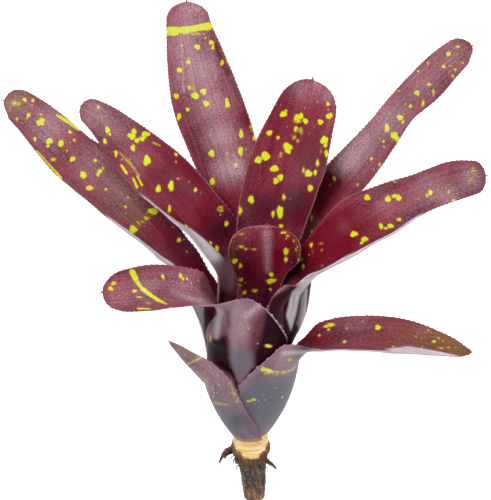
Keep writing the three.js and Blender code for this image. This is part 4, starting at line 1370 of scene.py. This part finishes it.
def under_skin(w, grain, patches, pebbles):
    """The colour of the underside: grey scales, with the pigments, the painted sheen and the
    painted shade showing through.
    """
    color = w.mix(w.spread(grain["Grain"], 0.25, 0.75), DARK_SCALES, SCALES)
    color = w.mix(w.times(w.spread(patches, 0.4, 0.75), 0.6), color, DARK_SCALES)
    color = w.mix(w.times(w.attribute("slate"), 0.8), color, SLATE)
    color = w.mix(w.times(w.attribute("olive"), 0.7), color, OLIVE)
    bloom_and_sheen = w.times(w.attribute("bloom_and_sheen"), w.spread(pebbles, 0.35, 0.6, 0.45, 0.8))
    color = w.mix(bloom_and_sheen, color, BLOOM_AND_SHEEN)
    color = w.mix(w.times(w.attribute("crimson_and_shade"), 0.85), color, DARK_WINE)
    color = w.mix(w.times(w.attribute("plum_and_shade"), 0.95), color, DARK_UNDER)
    return w.mix(w.spread(pebbles, 0.3, 0.5, 0.12, 0.0), color, SHADE)


for made in (upper_skin, under_skin):
    print(f"{made.__name__}: {made.__doc__}")


# %% Flecks and marks on the skin
def with_flecks(w, skin, place):
    """A few round flecks everywhere, and many fine ones where there is dust."""
    few = use_group(w, fleck_group, place, {"Flecks per mm": 0.3, "Share": 0.3, "Size": 0.13})
    share = w.times(w.attribute("dust"), 0.5)
    many = use_group(w, fleck_group, place, {"Flecks per mm": 0.75, "Share": share, "Size": 0.3})
    fleck_color = w.mix(w.spread(few["Chance"], 0.3, 0.8), RUST, LIME)
    skin = w.mix(w.times(few["Flecks"], 0.75), skin, fleck_color)
    dust_color = w.mix(w.spread(many["Chance"], 0.2, 0.7), RUST, PALE_LIME)
    return w.mix(w.times(many["Flecks"], 0.6), skin, dust_color)


def with_marks(w, skin, place, upper, grain, bloom_sheen_veil, fray):
    """The lime marks, frayed as far as their size allows, each with a faint rusty halo; deeper
    under the plum and painted shade, paler under the bloom and painted sheen.
    """
    reach = w.plus(w.times(w.attribute("mark_size"), 0.45), 0.2)
    edge = w.plus(w.plus(w.attribute("mark"), 0.1), w.times(fray, reach))
    strength = w.attribute("mark_strength")
    weakness = w.math("SUBTRACT", 1.0, strength)
    brush = w.noise(w.stretch(place, (1.6, 0.35, 1.0)), 1.0, 3.0, 0.65)
    gap = w.plus(w.times(weakness, 0.55), 0.22)
    cover = w.spread(w.math("SUBTRACT", brush, gap), -0.08, 0.1)
    faint = w.times(weakness, 0.8)
    soft_low, soft_high = w.math("SUBTRACT", -0.3, faint), w.plus(0.12, faint)
    marked = w.times(w.spread(edge, soft_low, soft_high, 1.0, 0.0), cover)
    lime = w.mix(w.spread(grain["Grain"], 0.3, 0.7), LIME, DEEP_LIME)
    lime = w.mix(w.times(w.attribute("plum_and_shade"), 0.5), lime, DEEP_LIME)
    lime = w.mix(w.times(bloom_sheen_veil, 0.7), lime, PALE_LIME)
    lime = w.mix(upper, w.mix(0.5, lime, PALE_LIME), lime)
    halo = w.times(w.spread(edge, 0.05, 0.6, 0.35, 0.0), strength)
    return w.mix(marked, w.mix(halo, skin, RUST), lime)


def with_ends(w, skin, place, fray):
    """Pale margins, the cream foot of the wrapped base, and the dark spine."""
    across = w.node("ShaderNodeSeparateXYZ", {"Vector": place}).outputs["Z"]
    rim = w.spread(w.math("ABSOLUTE", across), 0.975, 1.0)
    skin = w.mix(w.times(rim, 0.35), skin, MARGIN)
    foot = w.plus(w.attribute("height"), w.times(fray, 4.0))
    skin = w.mix(w.spread(foot, *FOOT_EDGE, 0.9, 0.0), skin, FOOT_CREAM)
    return w.mix(w.attribute("spine"), skin, SPINE)


for made in (with_flecks, with_marks, with_ends):
    print(f"{made.__name__}: {made.__doc__}")


# %% Leaf material
def leaf_gloss(w, shader, upper, lines, grain, pebbles):
    """Satin skin under a thin coat that is strongest where the bloom and painted sheen are, and the
    quilted bump.
    """
    rough = w.spread(grain["Grain"], 0.3, 0.7, 0.36, 0.52)
    rougher_below = w.times(w.math("SUBTRACT", 1.0, upper), 0.12)
    w.feed(shader.inputs["Roughness"], w.plus(rough, rougher_below))
    shader.inputs["Specular IOR Level"].default_value = 0.08
    shine = w.times(w.attribute("bloom_and_sheen"), w.spread(pebbles, 0.4, 0.62, 0.1, 0.55))
    w.feed(shader.inputs["Coat Weight"], w.plus(shine, 0.02))
    shader.inputs["Coat Roughness"].default_value = 0.22
    place = w.attribute("place", "Vector")
    quilt = w.noise(w.stretch(place, (0.7, 1.0, 1.0)), 1.2, 2.0, 0.5)
    quilt = w.times(quilt, w.plus(w.attribute("bloom_and_sheen"), 0.4))
    raised = w.plus(w.times(lines, 0.7), w.plus(w.times(quilt, 1.2), w.times(pebbles, 0.6)))
    bump = w.node("ShaderNodeBump", {"Height": raised, "Strength": 0.5, "Distance": 0.0004})
    w.feed(shader.inputs["Normal"], bump.outputs["Normal"])


def leaf_material():
    material = bpy.data.materials.new("leaf_skin")
    material.use_nodes = True
    w = Wires(material.node_tree)
    shader = material.node_tree.nodes["Principled BSDF"]
    place = w.attribute("place", "Vector")
    upper = w.attribute("upper")
    lines = use_group(w, line_group, place, {"Lines per mm": 1.9, "Length": 0.03})["Lines"]
    grain = use_group(w, grain_group, place, {"Grains per mm": 2.2})
    patches = w.spread(w.noise(w.stretch(place, (0.07, 0.028, 1.0)), 1.0, 3.0, 0.6), 0.35, 0.65)
    pebbles = w.noise(w.stretch(place, (1.9, 1.2, 1.0)), 1.0, 2.0, 0.6)
    fray = w.plus(w.noise(w.stretch(place, (0.8, 0.5, 1.0)), 1.0, 2.0, 0.5), -0.5)

    red, bloom_sheen_veil = upper_skin(w, lines, grain, patches, pebbles)
    skin = w.mix(upper, under_skin(w, grain, patches, pebbles), red)
    # pale underside scales, and painted highlights and reflections
    pale = w.times(w.attribute("pale"), w.spread(lines, 0.35, 0.65, 0.75, 1.05))
    skin = w.mix(pale, skin, PALE_SCALES_AND_LIGHT)
    skin = with_flecks(w, skin, place)
    skin = with_marks(w, skin, place, upper, grain, bloom_sheen_veil, fray)
    w.feed(shader.inputs["Base Color"], with_ends(w, skin, place, fray))

    # the painted glow, an emission on the wedge and the flank
    painted_glow = w.times(w.attribute("painted_glow"), w.spread(lines, 0.35, 0.65, 0.5, 1.0))
    w.feed(shader.inputs["Emission Color"], w.mix(painted_glow, NO_LIGHT, PALE_SCALES_AND_LIGHT))
    shader.inputs["Emission Strength"].default_value = PAINTED_GLOW_STRENGTH
    leaf_gloss(w, shader, upper, lines, grain, pebbles)
    return material


leaf_skin = leaf_material()
print("nodes in the leaf's material:", len(leaf_skin.node_tree.nodes))

# %% [markdown]
# ## All ten leaves
#
# One loop grows every leaf, paints it and puts it in the place of its solid. The draw of random
# numbers is seeded by the leaf's number, so the teeth come out the same each time.

# %% Grow the leaves
def in_place(mesh):
    """From the plant's own millimetres to the packed plant's metres."""
    mesh.transform(Matrix.Scale(MM, 4) @ Matrix.Translation(PLANT_SHIFT))


LEAF_SEED = 100


def grow_leaf(name, leaf, number):
    draw = random.Random(LEAF_SEED + number)
    shape = LeafShape(leaf)
    bm, margins, tip_wall = leaf_slab(shape, fine_rows(shape), number)
    teeth = add_teeth(bm, margins, shape.total, draw)
    add_spine(bm, tip_wall, shape)
    bmesh.ops.recalc_face_normals(bm, faces=bm.faces)
    grown = object_from(bm, f"{name}_skin")
    paint_leaf(grown.data, name, number)
    in_place(grown.data)
    grown.data.materials.append(leaf_skin)
    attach(grown, "root")
    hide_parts(name)
    print(name, "faces:", len(grown.data.polygons), "teeth:", teeth)


for number, (name, leaf) in enumerate(LEAVES.items()):
    grow_leaf(name, leaf, number)

# %% [markdown]
# ## The runner and the collar
#
# The plant sat on a runner, a woody shoot that was cut through. Above it a cream collar shows where
# the old leaves were pulled off. Both are round but rough, so each is a profile spun round its axis
# and then pushed in and out by noise: deep ridges for bark, faint rings for the collar.

# %% Spin the stem
STEM_RINGS = (
    (0, CUT_RADIUS, 1.7), (4, 5.2, 1.6), (10, 5.5, 1.3), (16, 6.2, 0.7), (22, 7.1, 0.2),
    (COLLAR_START, 7.3, 0), (COLLAR_START + 0.8, 8.3, 0), (VASE_FOOT_HEIGHT - 5, 8.1, 0),
    (VASE_FOOT_HEIGHT - 0.6, CORE_RADIUS, 0), (CORE_TOP - 3, CORE_RADIUS, 0), (CORE_TOP, 6, 0),
)
STEM_SIDES = 120
STEM_PITCH = 0.3
UPRIGHT = Matrix((RIGHT, -FRONT, AXIS)).transposed().to_4x4()
SCAR_LOW = 25.2
SCAR_RISE = 5.5
SCAR_TEARS = 2.5  # how often the edge tears round the stem
SCAR_TEAR = 1.6
AXIS_CLEAR = 0.1  # millimetres round the axis that noise leaves alone


def stem_value(height, column):
    """The stem's radius (column 1) or its lean to the right (column 2) at a height."""
    heights = [ring[0] for ring in STEM_RINGS]
    return float(np.interp(height, heights, [ring[column] for ring in STEM_RINGS]))


def scar_edge(turn):
    """Height of the collar's torn lower edge, which dips at the front and the back."""
    torn = noise.noise(Vector((math.cos(turn) * SCAR_TEARS, math.sin(turn) * SCAR_TEARS, 4)))
    return SCAR_LOW + SCAR_RISE * abs(math.cos(turn)) ** 1.6 + SCAR_TEAR * torn


def lathe(low, high, swell):
    """Spins the stem's profile between two heights; swell gives the push at (height, turn)."""
    bm = bmesh.new()
    count = math.ceil((high - low) / STEM_PITCH)
    heights = [lerp(low, high, i / count) for i in range(count + 1)]
    profile = [(0, low)] + [(stem_value(h, 1), h) for h in heights] + [(0, high)]
    chain, edges = bm.verts.new((0, 0, low)), []
    for radius, height in profile[1:]:
        grown = bmesh.ops.extrude_vert_indiv(bm, verts=[chain])
        chain = grown["verts"][0]
        chain.co = (radius, 0, height)
        edges += grown["edges"]
    bmesh.ops.spin(
        bm, geom=bm.verts[:] + edges, cent=(0, 0, 0), axis=(0, 0, 1), dvec=(0, 0, 0),
        angle=2 * math.pi, steps=STEM_SIDES, use_merge=True,
    )
    bmesh.ops.remove_doubles(bm, verts=bm.verts[:], dist=TINY)
    grain_layer = bm.verts.layers.float_vector.new("grain_place")
    scar_layer = bm.verts.layers.float.new("scar")
    for v in bm.verts:
        around = math.hypot(v.co.x, v.co.y)
        turn = math.atan2(v.co.y, v.co.x)
        v[grain_layer] = v.co
        v[scar_layer] = v.co.z - scar_edge(turn)
        if around > AXIS_CLEAR:
            pushed = around + swell(v.co.z, turn)
            v.co.x, v.co.y = pushed * math.cos(turn), pushed * math.sin(turn)
        v.co.x += stem_value(v.co.z, 2)
    bmesh.ops.recalc_face_normals(bm, faces=bm.faces)
    bmesh.ops.transform(bm, matrix=Matrix.Translation(STEM_FOOT) @ UPRIGHT, verts=bm.verts)
    for v in bm.verts:
        v.co.z = max(v.co.z, 0)
    return bm


def bark_swell(height, turn):
    """Ridges and lumps, loose flakes and deep cracks, in millimetres."""
    around = Vector((math.cos(turn), math.sin(turn), 0))
    ridges = noise.noise(around * 4.5 + Vector((0, 0, height * 0.1)))
    lumps = noise.noise(around * 1.5 + Vector((7, 0, height * 0.28)))
    flakes = abs(noise.noise(around * 7 + Vector((0, 3, height * 0.45))))
    cracks = -max(0, noise.noise(around * 6 + Vector((5, 0, height * 0.22))) - 0.25)
    shrink = smoothstep(height, 0, 1.2)
    return shrink * (0.5 * ridges + 0.4 * lumps + 0.45 * flakes + 1.6 * cracks - 0.12)


def collar_swell(height, turn):
    """Faint rings where leaves were pulled off, and a torn husk at the lower edge."""
    around = Vector((math.cos(turn), math.sin(turn), 0))
    wave = noise.noise(around * 1.4 + Vector((2, 0, height * 0.16)))
    torn = noise.noise(around * 6 + Vector((0, 9, height * 0.9)))
    scar = math.cos((height + 1.8 * math.sin(turn - 0.6)) * 2.1)
    husk = smoothstep(scar_edge(turn) - height, -0.4, 0.6)
    return 0.28 * wave + 0.07 * torn + 0.1 * scar + 0.35 * husk * abs(torn)


def core_swell(height, turn):
    return 0.05 * noise.noise(Vector((math.cos(turn) * 3, math.sin(turn) * 3, height)))


edges = [round(scar_edge(turn), 1) for turn in (0, math.pi / 2)]
print("the scar's edge in mm, front and side:", edges)

# %% [markdown]
# ## Bark, cream and root
#
# The dry finishes are one recipe with other colours: two tones in patches, a third in the grain,
# dark cracks where the fibres part, and a bump from all of it. Bark fibres run lengthwise, but the
# collar's run round it, because each scar is a ring where a leaf sat. The collar's torn lower edge
# is stained brown, and below it the bark's own tones take over.

# %% Materials of the dry parts
BARK = srgb(36, 32, 30), srgb(122, 102, 84), srgb(196, 160, 120)
CREAM = srgb(222, 164, 80), srgb(236, 196, 114), srgb(250, 240, 204)
ROOT = srgb(48, 34, 26), srgb(112, 76, 46), srgb(190, 126, 64)
RUST_STAIN, SCAR_STAIN = srgb(178, 112, 70), srgb(176, 108, 40)


def dry_tones(w, tones, place, fibres, grain):
    dark, middle, light = tones
    patches = w.noise(place, 0.3, 3.0, 0.65)
    color = w.mix(w.spread(patches, 0.38, 0.6), dark, middle)
    color = w.mix(w.spread(grain["Grain"], 0.5, 0.7, 0.0, 0.8), color, light)
    return w.mix(w.spread(fibres, 0.5, 0.36, 0.0, 0.75), color, dark)


def root_tones(w, place, fibres, grain):
    return dry_tones(w, ROOT, place, fibres, grain)


def runner_tones(w, place, fibres, grain):
    """Bark, sooty halfway up and rusty near the cut."""
    color = dry_tones(w, BARK, place, fibres, grain)
    height = w.node("ShaderNodeSeparateXYZ", {"Vector": place}).outputs["Z"]
    low = w.plus(height, w.times(grain["Grain"], 8.0))
    sooty = w.times(w.spread(low, 12.0, 16.0), w.spread(low, 20.0, 28.0, 0.3, 0.0))
    color = w.mix(sooty, color, BARK[0])
    near_cut = w.spread(low, 6.0, 13.0, 1.0, 0.0)
    return w.mix(w.times(near_cut, w.spread(fibres, 0.42, 0.62, 0.15, 0.8)), color, RUST_STAIN)


def collar_tones(w, place, fibres, grain):
    """Cream rings, stained at the torn lower edge, and bark below it."""
    dark, middle, light = CREAM
    rings = w.noise(w.stretch(place, (0.12, 0.2, 0.8), (0.0, 0.0, 2.0)), 1.0, 2.0, 0.5)
    color = w.mix(w.spread(rings, 0.35, 0.65), dark, light)
    color = w.mix(w.spread(fibres, 0.45, 0.6), color, middle)
    upright = w.noise(w.stretch(place, (1.2, 1.2, 0.3)), 1.0, 4.0, 0.65)
    bark_below = dry_tones(w, BARK, place, upright, grain)
    scar = w.plus(w.attribute("scar"), w.times(w.plus(fibres, -0.5), 3.0))
    color = w.mix(w.spread(scar, -0.2, 1.5, 0.85, 0.0), color, SCAR_STAIN)
    return w.mix(w.spread(scar, -0.5, 0.1, 1.0, 0.0), color, bark_below)


def dry_material(name, paint, rough, depth, fibre_scale, grain_rise=0.6):
    """A dry finish; paint gives its colour, depth the bump in metres."""
    material = bpy.data.materials.new(name)
    material.use_nodes = True
    w = Wires(material.node_tree)
    shader = material.node_tree.nodes["Principled BSDF"]
    place = w.attribute("grain_place", "Vector")
    fibres = w.noise(w.stretch(place, fibre_scale), 1.0, 4.0, 0.65)
    grain = use_group(w, grain_group, place, {"Grains per mm": 1.1})
    w.feed(shader.inputs["Base Color"], paint(w, place, fibres, grain))
    shader.inputs["Roughness"].default_value = rough
    raised = w.plus(w.times(fibres, 1.4), w.times(grain["Grain"], grain_rise))
    bump = w.node("ShaderNodeBump", {"Height": raised, "Strength": 0.9, "Distance": depth})
    w.feed(shader.inputs["Normal"], bump.outputs["Normal"])
    return material


bark = dry_material("runner_bark", runner_tones, 0.85, 0.001, (0.9, 0.9, 0.16))
cream = dry_material("collar_cream", collar_tones, 0.55, 0.0004, (0.16, 0.16, 1.3), 0.3)
root_brown = dry_material("root_brown", root_tones, 0.8, 0.0005, (1.2, 1.2, 0.3))
print("dry materials:", [material.name for material in (bark, cream, root_brown)])

# %% Runner, collar and core
def finish_dry(piece, material, *nodes):
    in_place(piece.data)
    piece.data.materials.append(material)
    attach(piece, "root")
    if nodes:
        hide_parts(*nodes)
    print(piece.name, "faces:", len(piece.data.polygons))


runner = object_from(lathe(0, COLLAR_START + 1.2, bark_swell), "runner")
finish_dry(runner, bark, "stem")
collar = object_from(lathe(COLLAR_START, VASE_FOOT_HEIGHT + 0.6, collar_swell), "scar_collar")
finish_dry(collar, cream)
core = object_from(lathe(VASE_FOOT_HEIGHT, CORE_TOP, core_swell), "stem_core")
finish_dry(core, cream)

# %% [markdown]
# ## Roots and torn husk
#
# Dry roots leave the stem under the collar, with thin rootlets on them, and shreds of old leaf base
# hang there like a torn husk. A root is a small ring extruded step by step along its path, which is
# what a curve with a round profile does too, but here each step can be made knobbly.

# %% Roots
ROOT_SIDES = 12
ROOT_PITCH = 0.35
ROOT_REFERENCE = Vector((1, 0, 2))
ROOTS = (
    (
        (1.3, 1, 0.8, 0.4),
        ((-2, -90, 18), (-8.5, -92.3, 19), (-10.5, -95, 18), (-12.2, -98.4, 16)),
    ),
    ((1.1, 0.8, 0.4), ((-2, -92, 16), (-8.3, -94.3, 14), (-9.6, -96.6, 12))),
    ((1, 0.7, 0.35), ((-1, -92, 20), (-4.3, -95.2, 22), (-3.8, -98.4, 21.5))),
    (
        (1.2, 0.9, 0.6, 0.35),
        ((5, -95, 16), (9.5, -97, 17), (12.4, -99.2, 16), (14.2, -101.2, 15.5)),
    ),
    ((1.1, 0.8, 0.4), ((2, -92, 14), (3, -95, 8), (2.5, -98, 6.5))),
)


def grow_tube(bm, spots, radii, sides, rough, seed):
    """Extrudes a ring along a path of points, each step knobbly by noise."""
    grain_layer = bm.verts.layers.float_vector.get("grain_place")
    if grain_layer is None:
        grain_layer = bm.verts.layers.float_vector.new("grain_place")

    def frame_at(i):
        along = (spots[min(i + 1, len(spots) - 1)] - spots[max(i - 1, 0)]).normalized()
        across = along.cross(ROOT_REFERENCE).normalized()
        turn = Matrix((across, along.cross(across), along)).transposed().to_4x4()
        return Matrix.Translation(spots[i]) @ turn

    ring = bmesh.ops.create_circle(bm, segments=sides, radius=1, cap_ends=True)["verts"]
    start = [v.co.copy() for v in ring]
    for i in range(len(spots)):
        if i:
            edges = {e for v in ring for e in v.link_edges if e.other_vert(v) in ring}
            grown = bmesh.ops.extrude_edge_only(bm, edges=list(edges))["geom"]
            fresh = [g for g in grown if isinstance(g, bmesh.types.BMVert)]
            pairs = {v: min(fresh, key=lambda f: (f.co - v.co).length) for v in ring}
            ring = [pairs[v] for v in ring]
        for v, place in zip(ring, start):
            knob = 1 + rough * noise.noise(place * 2 + Vector((0, seed, i * 0.5)))
            v.co = frame_at(i) @ (place * radii[i] * knob)
            v.co.z = max(v.co.z, 0)
            v[grain_layer] = place * 2 + Vector((0, seed * 9, i * ROOT_PITCH))
    bmesh.ops.contextual_create(bm, geom=ring)


def even_path(points, radii, pitch):
    """Points and radii spaced evenly on a smooth curve through a few given ones."""
    length = sum((Vector(b) - Vector(a)).length for a, b in zip(points, points[1:]))
    count = max(3, math.ceil(length / pitch))
    columns = list(zip(*points))
    places = [i * (len(points) - 1) / count for i in range(count + 1)]
    spots = [Vector([through(column, place) for column in columns]) for place in places]
    return spots, [max(through(radii, place), 0.1) for place in places]


bm = bmesh.new()
for number, (radii, points) in enumerate(ROOTS):
    spots, sizes = even_path(points, radii, ROOT_PITCH)
    grow_tube(bm, spots, sizes, ROOT_SIDES, 0.6, number * 3.1)
bmesh.ops.recalc_face_normals(bm, faces=bm.faces)
finish_dry(object_from(bm, "dry_roots"), root_brown)

# %% Rootlets and husk shreds
ROOTLETS = 16
ROOTLET_SIDES = 6
ROOTLET_HEIGHTS, ROOTLET_LENGTHS = (17, 27), (1.5, 4.0)
ROOTLET_RADII, ROOTLET_PITCH = (0.3, 0.22, 0.12), 0.5
SHREDS = 110
SHRED_SIDES = 5
SHRED_TOP = 30.0
SHRED_LENGTHS, SHRED_LIFTS = (2.0, 6.0), (0.1, 0.9)
SHRED_RADII, SHRED_PITCH = (0.5, 0.42, 0.12), 0.7
SHRED_SEED = 41
draw = random.Random(SHRED_SEED)


def from_stem(height, radius, azimuth):
    """A point beside the stem, which leans a little to the right at its foot."""
    return beside_axis(height, radius, azimuth) + RIGHT * stem_value(height, 2)


bm = bmesh.new()
for number in range(ROOTLETS):
    azimuth = draw.choice((draw.uniform(-130, -50), draw.uniform(40, 130)))
    height = draw.uniform(*ROOTLET_HEIGHTS)
    length = draw.uniform(*ROOTLET_LENGTHS)
    foot = from_stem(height, stem_value(height, 1) - 0.8, azimuth)
    elbow = from_stem(height - length * 0.2, stem_value(height, 1) + length * 0.5, azimuth)
    end = from_stem(height - length * 0.9, stem_value(height, 1) + length * 0.75, azimuth + 8)
    spots, sizes = even_path((foot, elbow, end), ROOTLET_RADII, ROOTLET_PITCH)
    grow_tube(bm, spots, sizes, ROOTLET_SIDES, 0.4, number * 1.7)
bmesh.ops.recalc_face_normals(bm, faces=bm.faces)
finish_dry(object_from(bm, "rootlets"), root_brown)

bm = bmesh.new()
for number in range(SHREDS):
    azimuth = draw.uniform(-180, 180)
    turn = math.radians(azimuth - 90)
    top_height = min(scar_edge(turn), SHRED_TOP) + draw.uniform(-2.5, 0.6)
    length = draw.uniform(*SHRED_LENGTHS)
    lift = draw.uniform(*SHRED_LIFTS)
    top = from_stem(top_height, stem_value(top_height, 1) - 0.15, azimuth)
    low = top_height - length * 0.5
    middle = from_stem(low, stem_value(low, 1) + lift * 0.6, azimuth + draw.uniform(-8, 8))
    low = top_height - length
    end = from_stem(low, stem_value(low, 1) + lift, azimuth + draw.uniform(-14, 14))
    spots, sizes = even_path((top, middle, end), SHRED_RADII, SHRED_PITCH)
    grow_tube(bm, spots, sizes, SHRED_SIDES, 0.9, number * 2.3)
bmesh.ops.recalc_face_normals(bm, faces=bm.faces)
finish_dry(object_from(bm, "husk_shreds"), bark)

# %% [markdown]
# ## Measure and finish
#
# The dressed plant must keep the size of its solids, though a fine tip may reach a little past
# them. Both boxes are printed.

# %% Print the sizes and finish
dressed_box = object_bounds()
sizes_in_metres = {
    "solid": [list(corner) for corner in solid_box],
    "dressed": [list(corner) for corner in dressed_box],
}
for label, corners in sizes_in_metres.items():
    print(label, "box in mm:", [[round(v * 1000, 2) for v in corner] for corner in corners])
